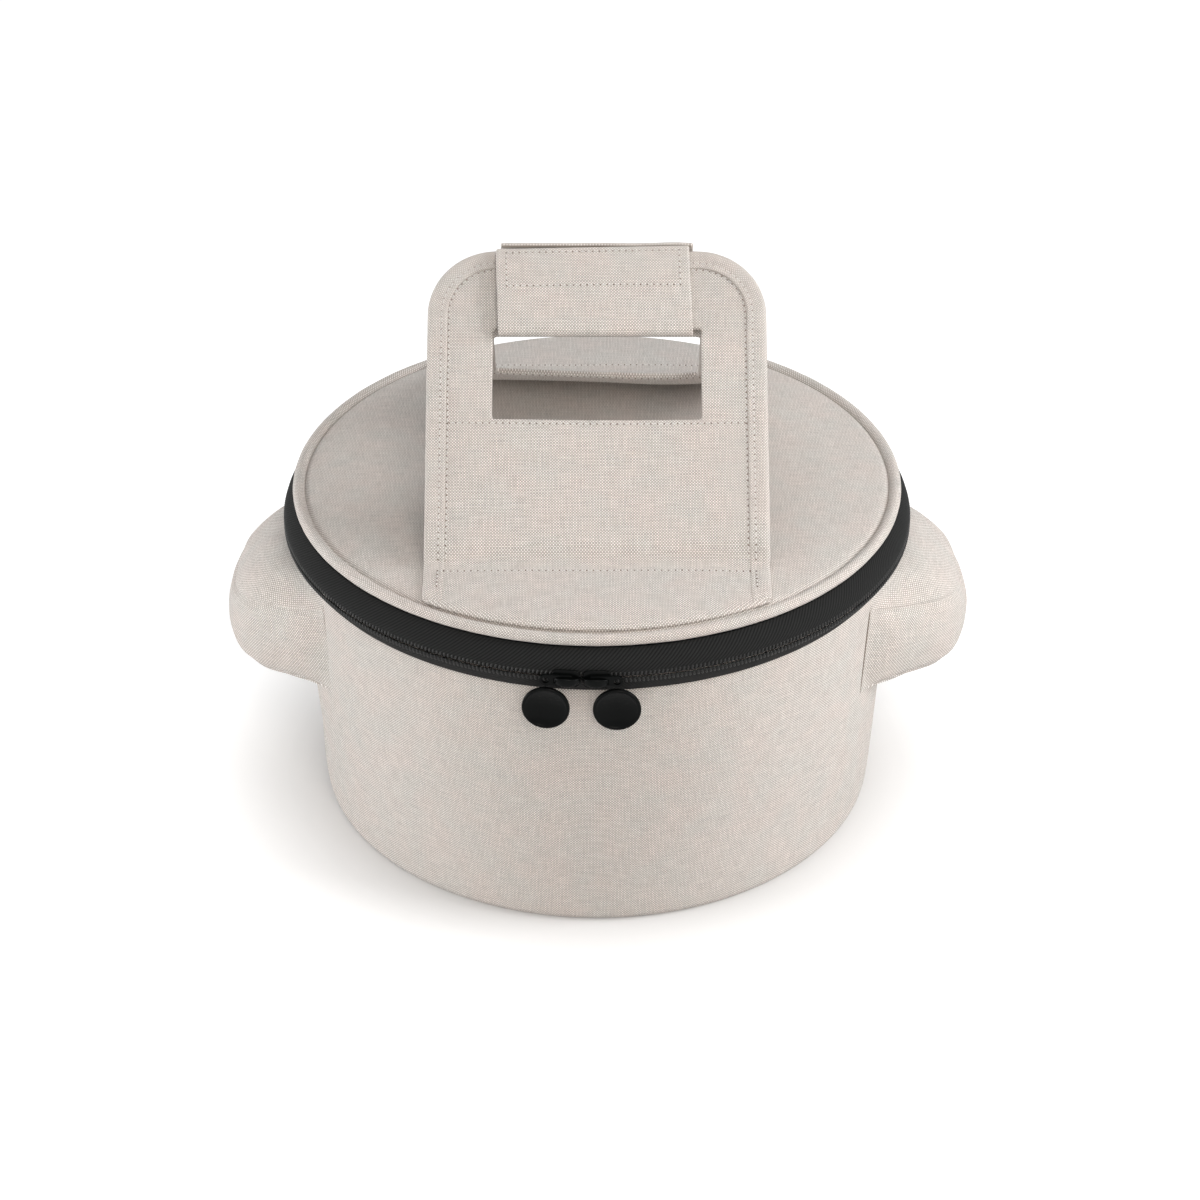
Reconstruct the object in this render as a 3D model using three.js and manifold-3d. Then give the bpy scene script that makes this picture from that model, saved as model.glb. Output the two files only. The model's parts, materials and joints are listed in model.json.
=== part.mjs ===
// An insulated round carrier for a casserole dish: padded drum, zip-round lid, hollow side ears for the
// dish's handles, and two carrying handles that a wrap-round grip holds together.
// Lengths are in millimetres, +Z is up, the front faces -Y, and the origin is the centre of the base.
import * as THREE from "three";
import { mergeVertices } from "three/addons/utils/BufferGeometryUtils.js";
import Module from "manifold-3d";

const wasm = await Module();
wasm.setup();

// Cloth, wadding and clearances.
const canvas = 1.2; // outer canvas
const liner = 0.8; // inner lining
const gap = 0.3; // between pieces that are sewn or pressed together
const wallFoam = 7; // wadding in the wall and the ears
const baseFoam = 6; // wadding under the dish
const lidFoam = 7; // wadding in the lid
const overrun = 20; // how far a cutting solid runs past what it cuts
const weld = 0.0001; // vertices closer than this are one

// Body.
const bottomRadius = 143.5;
const topRadius = 152;
const bodyHeight = 146; // top edge of the outer wall, where the zip band begins
const rimRise = 4; // inner wall's height above the outer wall

// Zip band between the body and the lid.
const bandHeight = 24.3;
const bandBulge = 7.8; // how far the band stands out past the top of the wall
const bandBulgeRise = 14; // height of its widest place above the wall
const bandTuck = 1; // radius of its upper edge past the wall's top radius
const tape = 1; // thickness of the zip tape
const zipRise = 11.3; // height of the coils' meeting line above the wall
const coilHeight = 1.4;
const coilDepth = 2.2;
const coilSpace = 1.5; // between the two coils, where a slider's post runs
const hingeWidth = 124; // stretch at the back with no zip, which the lid turns on

// Lid.
const pipingRadius = 3;
const lidEdgeRadius = 3.2; // rounding of the lid's top edge

// Ears.
const earReach = 35.5; // past the top of the wall
const earLip = 1.5; // how far the ends of an ear stand proud of the wall
const earHalfSpan = 68; // along the wall, from the middle of an ear to its end
const earDepth = 62; // lower seam, below the top of the wall
const earNoseDrop = 30; // top seam at the middle of the ear, below the top of the wall
const earEndDrop = 12; // top seam at the ends of the ear, below the top of the wall
const earSeamPower = 1.3; // how evenly the top seam climbs to the ends
const earLeast = 2; // least depth of wadding or pocket that is still made
// Plan outline from the middle to an end: share of the half span, share of the reach.
const earOutlineShares = [
  [0, 1],
  [0.17, 0.975],
  [0.34, 0.9],
  [0.49, 0.72],
  [0.66, 0.39],
  [0.83, 0.13],
  [1, 0],
];

// Zip sliders and pulls.
const slidersOffCentre = -7.3; // where the two sliders meet, along the front of the band
const sliderLength = 13.2;
const sliderHeight = 9.5;
const sliderPlate = 1.2;
const sliderRun = 0.4; // running clearance between a slider and the coils
const sliderNose = 0.7; // from the meeting place to the nose of a slider
const backPlateInset = 0.05; // back plate's edge below the coils' outer edges
const postLength = 2.6;
const postHeight = 0.9;
const crownLength = 9.6;
const crownBar = 1.2;
const crownHeight = 2.4;
const linkThickness = 1.4;
const linkPlay = 0.5; // room round the link's pin inside the crown
const linkArm = 1.3; // width of the arms that pass above and below the crown
const linkPin = 1.5; // width of the bar that lies inside the crown
const linkPinPlace = -2.3; // of the pin's centre, from the middle of the slider
const linkWindow = 7.9; // from the pin's centre to the end of the link's window
const linkEyePlace = 11.8; // from the pin's centre to the eye's centre
const linkEyeRadius = 1.7;
const linkEyeRim = 1.2;
const ringRadius = 2.3; // of the ring that hangs the disc, to the middle of its wire
const ringWire = 0.6; // radius of that wire
const discRadius = 11.5;
const discThickness = 2.2;
const discRim = 1.5; // width of the raised rim
const discDish = 0.6; // depth of the dish inside the rim
const ringSink = 0.7; // how deep the ring's foot is set in the disc

// Handles.
const handleWidth = 168;
const handleLength = 169.6; // from the foot to the top edge
const handleCorner = 34; // radius of the top corners
const handleThickness = 3;
const bindingWidth = 8;
const bindingThickness = 4.4;
const windowWidth = 103;
const windowFoot = 80; // from the foot to the window's lower edge
const strapWidth = 42; // from the window's upper edge to the top edge
const anchorThickness = 1.5;
const anchorEdge = 2; // from the anchor's curved edge to the lid's rounded edge
const frontAnchorSide = 13.6; // straight side of the front anchor, from its curved edge to the fold
const rearAnchorSide = 9.3; // the same behind
const frontLean = 40; // angle of the front handle above the lid, in degrees
const rearStrapAngle = 60; // angle of the rear handle's strap above the lid, in degrees
const rearSlackShare = 0.045; // spare length of the rear handle, as a share of its straight span

// Grip.
const gripWidth = 96;
const wrapThickness = 2.4;
const wrapClearance = 0.4;
const closureThickness = 0.9; // hook strip and loop strip, each
const closureWidth = 84;
const closureHeight = 20;
const closureFoot = 8; // from the strap's lower edge to the strips

// Counts.
const ringSteps = 60;
const earSteps = 12;
const bandSteps = 3;
const edgeSteps = 3;
const cornerSteps = 6;
const arcSteps = 6;
const pipingSteps = 10;
const discSteps = 24;
const wireSteps = 6;

const degree = Math.PI / 180;

// Heights and radii that follow.
const bandTop = bodyHeight + bandHeight;
const pipingHeight = bandTop + gap + pipingRadius;
const lidTop = pipingHeight + pipingRadius;
const pipingCentre = topRadius + bandTuck - tape;
const lidRadius = pipingCentre - pipingRadius - gap;
const lidFlatRadius = lidRadius - lidEdgeRadius;
const zipHeight = bodyHeight + zipRise;
const baseTop = canvas + gap + baseFoam + gap;
const earFloor = bodyHeight - earDepth;
const earHalfAngle = earHalfSpan / topRadius;
const hingeHalfAngle = Math.asin(hingeWidth / 2 / topRadius);
const footClearance = bindingThickness / 2 + gap; // round the turning line of a handle's foot
const anchorRadius = lidFlatRadius - anchorEdge;
const anchorCorner = Math.sqrt(anchorRadius ** 2 - (handleWidth / 2) ** 2); // from the middle, front to back
const frontFoot = anchorCorner - frontAnchorSide;
const rearFoot = anchorCorner - rearAnchorSide;

const colours = {
  canvas: { color: 0xd8d2cb, roughness: 0.95, metalness: 0 },
  pale: { color: 0xe0dad4, roughness: 0.95, metalness: 0 },
  wadding: { color: 0xf2f0ec, roughness: 1, metalness: 0 },
  lining: { color: 0xc9c9c7, roughness: 0.7, metalness: 0 },
  zip: { color: 0x232425, roughness: 0.8, metalness: 0 },
  metal: { color: 0x151718, roughness: 0.25, metalness: 0.8 },
  closure: { color: 0xd0c9c0, roughness: 1, metalness: 0 },
};

// Helpers.

// Turns a geometry's faces round if they point inwards.
function outward(geometry) {
  const position = geometry.attributes.position;
  const index = geometry.index.array;
  const [a, b, c] = [new THREE.Vector3(), new THREE.Vector3(), new THREE.Vector3()];
  let volume = 0;
  for (let i = 0; i < index.length; i += 3) {
    a.fromBufferAttribute(position, index[i]);
    b.fromBufferAttribute(position, index[i + 1]);
    c.fromBufferAttribute(position, index[i + 2]);
    volume += a.dot(b.cross(c));
  }
  if (volume < 0)
    for (let i = 0; i < index.length; i += 3)
      [index[i + 1], index[i + 2]] = [index[i + 2], index[i + 1]];
  return geometry;
}

// Triangles that close a flat polygon, wound the way its points run.
function capOf(points) {
  const normal = new THREE.Vector3();
  points.forEach((p, i) => normal.add(p.clone().cross(points[(i + 1) % points.length])));
  normal.normalize();
  const across = points[1].clone().sub(points[0]).normalize();
  const up = normal.clone().cross(across);
  const flat = points.map((p) => new THREE.Vector2(p.dot(across), p.dot(up)));
  return THREE.ShapeUtils.triangulateShape(flat, []).map(([i, j, k]) => {
    const turn = flat[j].clone().sub(flat[i]).cross(flat[k].clone().sub(flat[i]));
    return turn > 0 ? [i, j, k] : [i, k, j];
  });
}

// A closed solid through a row of sections with equal counts of points; a ring joins its last to its first.
function loft(sections, ring = false) {
  const count = sections[0].length;
  const at = (i, j) => (i % sections.length) * count + (j % count);
  const points = sections.flat();
  const index = [];
  const spans = ring ? sections.length : sections.length - 1;
  for (let i = 0; i < spans; i++)
    for (let j = 0; j < count; j++) {
      const [a, b, c, d] = [at(i, j), at(i + 1, j), at(i + 1, j + 1), at(i, j + 1)];
      const rising = points[a].distanceTo(points[c]) < points[b].distanceTo(points[d]) - weld;
      index.push(...(rising ? [a, b, c, a, c, d] : [a, b, d, b, c, d]));
    }
  if (!ring) {
    const last = sections.length - 1;
    for (const [a, b, c] of capOf(sections[0])) index.push(at(0, a), at(0, b), at(0, c));
    for (const [a, b, c] of capOf(sections[last])) index.push(at(last, a), at(last, c), at(last, b));
  }
  const geometry = new THREE.BufferGeometry();
  const flat = points.flatMap((p) => [p.x, p.y, p.z]);
  geometry.setAttribute("position", new THREE.Float32BufferAttribute(flat, 3));
  geometry.setIndex(index);
  return outward(geometry);
}

// A closed solid swept round +Z. Its profile holds [radius, height] pairs; angles run from the front.
function sweep(profile, from = 0, to = 2 * Math.PI) {
  const ring = to - from > 2 * Math.PI - weld;
  const steps = Math.ceil((ringSteps * (to - from)) / (2 * Math.PI));
  const sections = [];
  for (let i = 0; i < (ring ? steps : steps + 1); i++) {
    const angle = from + ((to - from) * i) / steps;
    sections.push(profile.map(([r, z]) => onWall(r, z, angle)));
  }
  return loft(sections, ring);
}

// The point at a radius and a height, at an angle counted from the front towards +X.
function onWall(r, z, angle) {
  return new THREE.Vector3(r * Math.sin(angle), -r * Math.cos(angle), z);
}

// A full turn of a profile that starts and ends on the axis.
function turned(profile) {
  const geometry = new THREE.LatheGeometry(
    profile.map(([r, z]) => new THREE.Vector2(r, z)),
    ringSteps,
  );
  geometry.rotateX(Math.PI / 2);
  return outward(mergeVertices(bare(geometry), weld));
}

function bare(geometry) {
  const plain = geometry.clone();
  plain.deleteAttribute("normal");
  plain.deleteAttribute("uv");
  return plain;
}

function solid(geometry) {
  const merged = mergeVertices(bare(geometry), weld);
  const corners = merged.index.array;
  const triVerts = [];
  for (let i = 0; i < corners.length; i += 3) {
    const [a, b, c] = corners.slice(i, i + 3);
    if (a !== b && b !== c && c !== a) triVerts.push(a, b, c);
  }
  return new wasm.Manifold(
    new wasm.Mesh({
      numProp: 3,
      vertProperties: merged.attributes.position.array,
      triVerts: new Uint32Array(triVerts),
    }),
  );
}

function geometryOf(body) {
  const made = body.getMesh();
  const geometry = new THREE.BufferGeometry();
  geometry.setAttribute("position", new THREE.Float32BufferAttribute(made.vertProperties, 3));
  geometry.setIndex([...made.triVerts]);
  return geometry;
}

function cut(geometry, ...tools) {
  return geometryOf(tools.reduce((body, tool) => body.subtract(solid(tool)), solid(geometry)));
}

function join(geometry, ...others) {
  return geometryOf(others.reduce((body, other) => body.add(solid(other)), solid(geometry)));
}

function plate(shape, thickness, curveSegments = cornerSteps) {
  return new THREE.ExtrudeGeometry(shape, { depth: thickness, bevelEnabled: false, curveSegments });
}

function piece(name, geometry, look) {
  const shaded = geometry.index ? geometry.toNonIndexed() : geometry;
  shaded.computeVertexNormals();
  const mesh = new THREE.Mesh(shaded, new THREE.MeshStandardMaterial(colours[look]));
  mesh.name = name;
  return mesh;
}

// The place where two lines cross, each given by a point and a direction.
function crossing(p, d, q, e) {
  const across = d[0] * e[1] - d[1] * e[0];
  const t = ((q[0] - p[0]) * e[1] - (q[1] - p[1]) * e[0]) / across;
  return [p[0] + d[0] * t, p[1] + d[1] * t];
}

function between(a, b, share) {
  return a + (b - a) * share;
}

// Body.

function wallRadius(z) {
  return between(bottomRadius, topRadius, z / bodyHeight);
}

// A band of the sloping wall between two depths under its face and between two heights.
function wallBand(outer, inner, low, high) {
  return sweep([
    [wallRadius(low) - inner, low],
    [wallRadius(low) - outer, low],
    [wallRadius(high) - outer, high],
    [wallRadius(high) - inner, high],
  ]);
}

function disc(radius, low, high) {
  return turned([
    [0, low],
    [radius, low],
    [radius, high],
    [0, high],
  ]);
}

const paddingOuter = canvas + gap;
const paddingInner = paddingOuter + wallFoam;
const liningOuter = paddingInner + gap;
const liningInner = liningOuter + liner;
const innerTop = bodyHeight + rimRise;

// Ears.

// Half of an ear's plan outline: share of the half span and reach, from the middle to the end.
const earOutline = new THREE.SplineCurve(
  earOutlineShares.map(([share, out]) => new THREE.Vector2(share, out)),
).getPoints(earSteps);

// The ear's corners at one share of its span, inset from its faces: at the wall's top, the top seam, the
// lower seam and the wall's foot.
function earCorners(share, out, inset, inner) {
  const reach = Math.max(out, 0) * earReach;
  const seam = bodyHeight - between(earNoseDrop, earEndDrop, Math.abs(share) ** earSeamPower);
  const upper = [topRadius + earLip + reach, seam];
  const taper = ((topRadius - wallRadius(earFloor)) * reach) / earReach;
  const lower = [wallRadius(earFloor) + earLip + reach + taper, earFloor];
  const start = [topRadius, bodyHeight];
  const run = [upper[0] - start[0], upper[1] - start[1]];
  const length = Math.hypot(...run);
  const under = [(inset * run[1]) / length, (-inset * run[0]) / length];
  const topPoint = [start[0] + under[0], start[1] + under[1]];
  const side = [upper[0] - lower[0], upper[1] - lower[1]];
  const sidePoint = [lower[0] - inset, lower[1]];
  const wall = [topRadius - wallRadius(0), bodyHeight];
  const wallPoint = [wallRadius(0) - inner, 0];
  const floor = [0, earFloor + inset];
  const level = [1, 0];
  return [
    crossing(topPoint, run, wallPoint, wall),
    crossing(topPoint, run, sidePoint, side),
    crossing(floor, level, sidePoint, side),
    crossing(floor, level, wallPoint, wall),
  ];
}

// Sections along the whole ear. shape gets the share of the half span and the share of the reach, and a solid
// that makes room for another runs past both of its ends by that room.
function earLoft(side, inset, shape, keep = () => true, room = 0) {
  const half = earOutline.filter(keep);
  const whole = [...half.slice(1).reverse().map((p) => [-p.x, p.y]), ...half.map((p) => [p.x, p.y])];
  const spread = earHalfAngle * (1 - inset / earHalfSpan);
  const section = ([share, out], beyond) => {
    const angle = (side * Math.PI) / 2 + share * spread + beyond / topRadius;
    return shape(share, out).map(([r, z]) => onWall(r, z, angle));
  };
  const sections = whole.map((place) => section(place, 0));
  if (room) {
    sections.unshift(section(whole[0], -room));
    sections.push(section(whole[whole.length - 1], room));
  }
  return loft(sections);
}

// A block of the ear, inset from its faces, from a depth under the wall's face outwards. A cutting block runs
// on level from that depth towards the dish.
function earBlock(side, inset, inner, room = 0, cutting = false) {
  const deep = ({ y }) => {
    const [, upper] = earCorners(0, y, inset, inner);
    return upper[0] - topRadius >= earLeast;
  };
  const shape = (share, out) => {
    const corners = earCorners(share, out, inset - room, inner);
    if (!cutting) return corners;
    const [high, low] = [corners[0], corners[3]];
    return [[high[0] - overrun, high[1]], ...corners, [low[0] - overrun, low[1]]];
  };
  return earLoft(side, inset, shape, deep, room);
}

function earTop(side) {
  return earLoft(side, 0, (share, out) => {
    const [, b] = earCorners(share, out, 0, canvas);
    const a = [topRadius, bodyHeight];
    const length = Math.hypot(b[0] - a[0], b[1] - a[1]);
    const under = [(canvas * (b[1] - a[1])) / length, (-canvas * (b[0] - a[0])) / length];
    return [a, b, [b[0] + under[0], b[1] + under[1]], [a[0] + under[0], a[1] + under[1]]];
  });
}

function earWall(side) {
  return earLoft(side, 0, (share, out) => {
    const [, upper, lower] = earCorners(share, out, 0, canvas);
    const fall = upper[0] - topRadius;
    const high = upper[1] - (canvas * fall) / Math.hypot(fall, upper[1] - bodyHeight) - gap;
    const low = earFloor + canvas + gap;
    const slope = (upper[0] - lower[0]) / (upper[1] - lower[1]);
    const at = (z) => lower[0] + slope * (z - earFloor);
    return [
      [at(low), low],
      [at(high), high],
      [at(high) - canvas, high],
      [at(low) - canvas, low],
    ];
  });
}

function earBase(side) {
  return earLoft(side, 0, (share, out) => {
    const [, , lower] = earCorners(share, out, 0, canvas);
    const inner = wallRadius(earFloor) - canvas;
    return [
      [inner, earFloor],
      lower,
      [lower[0], earFloor + canvas],
      [inner, earFloor + canvas],
    ];
  });
}

const earPaddingInset = canvas + gap;
const earLiningInset = earPaddingInset + wallFoam + gap;
const earPocketInset = earLiningInset + liner;

function ear(name, side) {
  const group = new THREE.Group();
  const padding = cut(
    earBlock(side, earPaddingInset, canvas),
    earBlock(side, earLiningInset, paddingInner, gap, true),
  );
  const lining = cut(
    earBlock(side, earLiningInset, paddingInner),
    earBlock(side, earPocketInset, paddingInner, 0, true),
  );
  group.add(
    piece(`ear_${name}_top`, earTop(side), "pale"),
    piece(`ear_${name}_wall`, earWall(side), "canvas"),
    piece(`ear_${name}_base`, earBase(side), "canvas"),
    piece(`ear_${name}_padding`, padding, "wadding"),
    piece(`ear_${name}_lining`, lining, "lining"),
  );
  return group;
}

function body() {
  const group = new THREE.Group();
  const sides = [1, -1];
  const windowCorners = (share, out) => {
    const [, , , floor] = earCorners(share, out, -gap, overrun);
    const [outer, high] = [topRadius + overrun, bodyHeight + overrun];
    return [[floor[0], high], [outer, high], [outer, floor[1]], floor];
  };
  const wallWindows = sides.map((side) => earLoft(side, 0, windowCorners, () => true, gap));
  const paddingWindows = sides.map((side) => earBlock(side, earLiningInset, paddingInner, gap, true));
  const liningWindows = sides.map((side) => earBlock(side, earPocketInset, paddingInner, 0, true));
  const wall = cut(wallBand(0, canvas, canvas + gap, bodyHeight), ...wallWindows);
  const padding = cut(wallBand(paddingOuter, paddingInner, baseTop, innerTop), ...paddingWindows);
  const lining = cut(
    wallBand(liningOuter, liningInner, baseTop + liner + gap, innerTop),
    ...liningWindows,
  );
  const rimLow = innerTop + gap;
  const binding = wallBand(paddingOuter, liningInner, rimLow, rimLow + canvas);
  group.add(
    piece("base_panel", disc(bottomRadius, 0, canvas), "canvas"),
    piece("base_padding", disc(bottomRadius - paddingOuter, canvas + gap, baseTop - gap), "wadding"),
    piece("base_lining", disc(bottomRadius - liningOuter, baseTop, baseTop + liner), "lining"),
    piece("body_wall", wall, "canvas"),
    piece("body_padding", padding, "wadding"),
    piece("body_lining", lining, "lining"),
    piece("rim_binding", binding, "canvas"),
  );
  return group;
}

// Zip band.

function bandRadius(z) {
  const widest = bodyHeight + bandBulgeRise;
  const quarter = Math.PI / 2;
  if (z < widest) return topRadius + bandBulge * Math.sin((quarter * (z - bodyHeight)) / bandBulgeRise);
  const share = (z - widest) / (bandTop - widest);
  return topRadius + bandTuck + (bandBulge - bandTuck) * Math.cos(quarter * share);
}

function bandStrip(low, high, from, to) {
  const outer = [];
  for (let i = 0; i <= bandSteps; i++) {
    const z = between(low, high, i / bandSteps);
    outer.push([bandRadius(z), z]);
  }
  const inner = outer.map(([r, z]) => [r - tape, z]).reverse();
  return sweep([...outer, ...inner], from, to);
}

function coil(low, from, to) {
  const middle = bandRadius(zipHeight) - tape / 2;
  const [inner, outer] = [middle - coilDepth / 2, middle + coilDepth / 2];
  return sweep(
    [
      [inner, low],
      [outer, low],
      [outer, low + coilHeight],
      [inner, low + coilHeight],
    ],
    from,
    to,
  );
}

const zipEnd = Math.PI - hingeHalfAngle - gap / topRadius;
const stripStart = Math.PI - hingeHalfAngle;
const stripEnd = Math.PI + hingeHalfAngle;
const lowerCoilLow = zipHeight - coilSpace / 2 - coilHeight;
const upperCoilLow = zipHeight + coilSpace / 2;

function lowerBand() {
  const group = new THREE.Group();
  const low = bodyHeight + gap;
  group.add(
    piece("zip_tape_lower", bandStrip(low, lowerCoilLow - gap, -zipEnd, zipEnd), "zip"),
    piece("zip_coil_lower", coil(lowerCoilLow, -zipEnd, zipEnd), "zip"),
    piece("hinge_strip_lower", bandStrip(low, zipHeight - gap / 2, stripStart, stripEnd), "canvas"),
  );
  return group;
}

function upperBand() {
  const group = new THREE.Group();
  const low = upperCoilLow + coilHeight + gap;
  group.add(
    piece("zip_tape_upper", bandStrip(low, bandTop, -zipEnd, zipEnd), "zip"),
    piece("zip_coil_upper", coil(upperCoilLow, -zipEnd, zipEnd), "zip"),
    piece("hinge_strip_upper", bandStrip(zipHeight + gap / 2, bandTop, stripStart, stripEnd), "canvas"),
  );
  return group;
}

// Lid.

function lidShell() {
  const group = new THREE.Group();
  const skirt = pipingHeight - pipingRadius;
  const inside = lidTop - canvas;
  const corner = (radius, centreR, centreZ, from, to) => {
    const points = [];
    for (let i = 0; i <= edgeSteps; i++) {
      const angle = between(from, to, i / edgeSteps);
      points.push([centreR + radius * Math.cos(angle), centreZ + radius * Math.sin(angle)]);
    }
    return points;
  };
  const centreR = lidFlatRadius;
  const centreZ = lidTop - lidEdgeRadius;
  const top = turned([
    [0, inside],
    ...corner(lidEdgeRadius - canvas, centreR, centreZ, Math.PI / 2, 0),
    [lidRadius - canvas, skirt],
    [lidRadius, skirt],
    ...corner(lidEdgeRadius, centreR, centreZ, 0, Math.PI / 2),
    [0, lidTop],
  ]);
  const foamRadius = lidRadius - canvas - gap;
  const foamTop = inside - gap;
  const foamFloor = foamTop - lidFoam;
  const padding = turned([
    [0, foamFloor],
    [foamRadius, foamFloor],
    ...corner(lidEdgeRadius - canvas - gap, centreR, centreZ, 0, Math.PI / 2),
    [0, foamTop],
  ]);
  const liningFloor = foamFloor - gap - liner;
  const liningRim = skirt - gap;
  const lining = turned([
    [0, liningFloor],
    [foamRadius + gap + liner, liningFloor],
    [foamRadius + gap + liner, liningRim],
    [foamRadius + gap, liningRim],
    [foamRadius + gap, foamFloor - gap],
    [0, foamFloor - gap],
  ]);
  const round = [];
  for (let i = 0; i < pipingSteps; i++) {
    const angle = (2 * Math.PI * i) / pipingSteps;
    round.push([
      pipingCentre + pipingRadius * Math.cos(angle),
      pipingHeight + pipingRadius * Math.sin(angle),
    ]);
  }
  group.add(
    piece("lid_top", top, "canvas"),
    piece("lid_padding", padding, "wadding"),
    piece("lid_lining", lining, "lining"),
    piece("lid_piping", sweep(round, -stripStart, stripStart), "canvas"),
  );
  return group;
}

// The part of a handle that is sewn flat to the lid, from its foot to the lid's curved edge.
function anchor(name, foot, side) {
  const half = handleWidth / 2;
  const start = foot + footClearance;
  const turn = Math.acos(half / anchorRadius);
  const shape = new THREE.Shape();
  shape.moveTo(-half, start);
  shape.lineTo(half, start);
  shape.lineTo(half, anchorCorner);
  shape.absarc(0, 0, anchorRadius, turn, Math.PI - turn, false);
  shape.lineTo(-half, start);
  const mesh = piece(name, plate(shape, anchorThickness, 2 * cornerSteps), "canvas");
  mesh.position.z = lidTop + gap;
  mesh.rotation.z = side > 0 ? 0 : Math.PI;
  return mesh;
}

// Handles. A path holds [y, z] points from the foot to the top edge, above the lid's top.

function unit(a, b) {
  const length = Math.hypot(b[0] - a[0], b[1] - a[1]);
  return [(b[0] - a[0]) / length, (b[1] - a[1]) / length];
}

// The points of a path moved sideways, to the left of its run.
function beside(path, distance) {
  return path.map((p, i) => {
    const before = i ? unit(path[i - 1], p) : unit(p, path[1]);
    const after = i < path.length - 1 ? unit(p, path[i + 1]) : before;
    const across = [-(before[1] + after[1]), before[0] + after[0]];
    const stretch = (2 * distance) / (across[0] ** 2 + across[1] ** 2);
    return [p[0] + across[0] * stretch, p[1] + across[1] * stretch];
  });
}

// A profile in the plane of y and z, drawn out along x.
function drawn(profile, width) {
  return loft([-width / 2, width / 2].map((x) => profile.map(([y, z]) => new THREE.Vector3(x, y, z))));
}

function slab(path, thickness, width) {
  const profile = [...beside(path, thickness / 2), ...beside(path, -thickness / 2).reverse()];
  return drawn(profile, width);
}

// The part of a path between two distances from its start.
function stretchOf(path, from, to) {
  const places = [0];
  path.slice(1).forEach((p, i) => {
    places.push(places[i] + Math.hypot(p[0] - path[i][0], p[1] - path[i][1]));
  });
  const at = (distance) => {
    const i = Math.max(1, places.findIndex((place) => place >= distance - weld));
    const share = (distance - places[i - 1]) / (places[i] - places[i - 1]);
    return [0, 1].map((k) => between(path[i - 1][k], path[i][k], share));
  };
  const within = path.filter((p, i) => places[i] > from + weld && places[i] < to - weld);
  return [at(from), ...within, at(to)];
}

// What a rounded outline leaves out at the two top corners of a handle.
function cornerWaste(path, halfWidth, radius, depth, below) {
  const [before, end] = path.slice(-2);
  const [level, rise] = unit(before, end);
  return [1, -1].map((side) => {
    const shape = new THREE.Shape();
    shape.moveTo(halfWidth + overrun, -radius);
    shape.lineTo(halfWidth + overrun, overrun);
    shape.lineTo(halfWidth - radius, overrun);
    shape.lineTo(halfWidth - radius, 0);
    shape.absarc(halfWidth - radius, -radius, radius, Math.PI / 2, 0, true);
    const geometry = plate(shape, depth);
    geometry.translate(0, -below, -depth / 2);
    if (side < 0) geometry.rotateY(Math.PI);
    geometry.rotateX(Math.atan2(rise, level));
    geometry.translate(0, end[0], end[1]);
    return geometry;
  });
}

function pathLength(path) {
  return path.slice(1).reduce((sum, p, i) => sum + Math.hypot(p[0] - path[i][0], p[1] - path[i][1]), 0);
}

// The panel and its bound edge, along a path whose last stretch is the strap over the window.
function handle(name, path) {
  const total = pathLength(path);
  const edge = bindingWidth;
  const deep = 3 * bindingThickness;
  const half = handleWidth / 2;
  const inner = edge + gap;
  const windowHeight = handleLength - strapWidth - windowFoot;
  const windowStart = total - strapWidth - windowHeight;
  const opening = slab(stretchOf(path, windowStart, total - strapWidth), deep, windowWidth);
  const panel = cut(
    slab(stretchOf(path, 0, total - inner), handleThickness, handleWidth - 2 * inner),
    opening,
    ...cornerWaste(path, half - inner, handleCorner - inner, overrun, inner),
  );
  const within = [extended(path), ...stretchOf(path, 0, total - edge)];
  const middle = slab(within, deep, handleWidth - 2 * edge);
  const cleared = cut(middle, ...cornerWaste(path, half - edge, handleCorner - edge, overrun, edge));
  const binding = cut(
    slab(path, bindingThickness, handleWidth),
    ...cornerWaste(path, half, handleCorner, overrun, 0),
    cleared,
  );
  return [piece(`${name}_panel`, panel, "canvas"), piece(`${name}_binding`, binding, "pale")];
}

// A point before the start of a path, in line with its first stretch.
function extended(path) {
  return along(path[0], unit(path[0], path[1]), -overrun);
}

const frontAlong = [Math.cos(frontLean * degree), Math.sin(frontLean * degree)];
const frontOut = [-frontAlong[1], frontAlong[0]];
const rearAlong = [Math.cos(rearStrapAngle * degree), Math.sin(rearStrapAngle * degree)];
const rearOut = [rearAlong[1], -rearAlong[0]];
const frontBase = [-frontFoot, footClearance];
const rearBase = [rearFoot, footClearance];

function along(start, direction, distance) {
  return [start[0] + direction[0] * distance, start[1] + direction[1] * distance];
}

const frontTop = along(frontBase, frontAlong, handleLength);
const frontStrapFoot = along(frontBase, frontAlong, handleLength - strapWidth);
const rearTop = along(frontTop, frontOut, -(bindingThickness + gap));
const rearStrapFoot = along(rearTop, rearAlong, -strapWidth);

// The rear handle hangs slack: an arc from its foot to its strap, then the strap. A shallow arc is longer
// than its span by the square of its turn over 24.
function rearPath() {
  const rise = [rearStrapFoot[0] - rearBase[0], rearStrapFoot[1] - rearBase[1]];
  const span = Math.hypot(...rise);
  const turn = Math.sqrt((24 * rearSlackShare) / (1 + rearSlackShare));
  const radius = span / 2 / Math.sin(turn / 2);
  const heading = Math.atan2(rise[1], rise[0]);
  const centre = along(
    along(rearBase, [Math.cos(heading), Math.sin(heading)], span / 2),
    [Math.sin(heading), -Math.cos(heading)],
    radius * Math.cos(turn / 2),
  );
  const points = [];
  for (let i = 0; i <= arcSteps; i++) {
    const angle = heading + Math.PI / 2 + turn / 2 - (turn * i) / arcSteps;
    points.push([centre[0] + radius * Math.cos(angle), centre[1] + radius * Math.sin(angle)]);
  }
  return [...points, rearTop];
}

// Grip: a four-sided sleeve round both straps, in two parts that meet at the front top and the rear foot.

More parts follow.
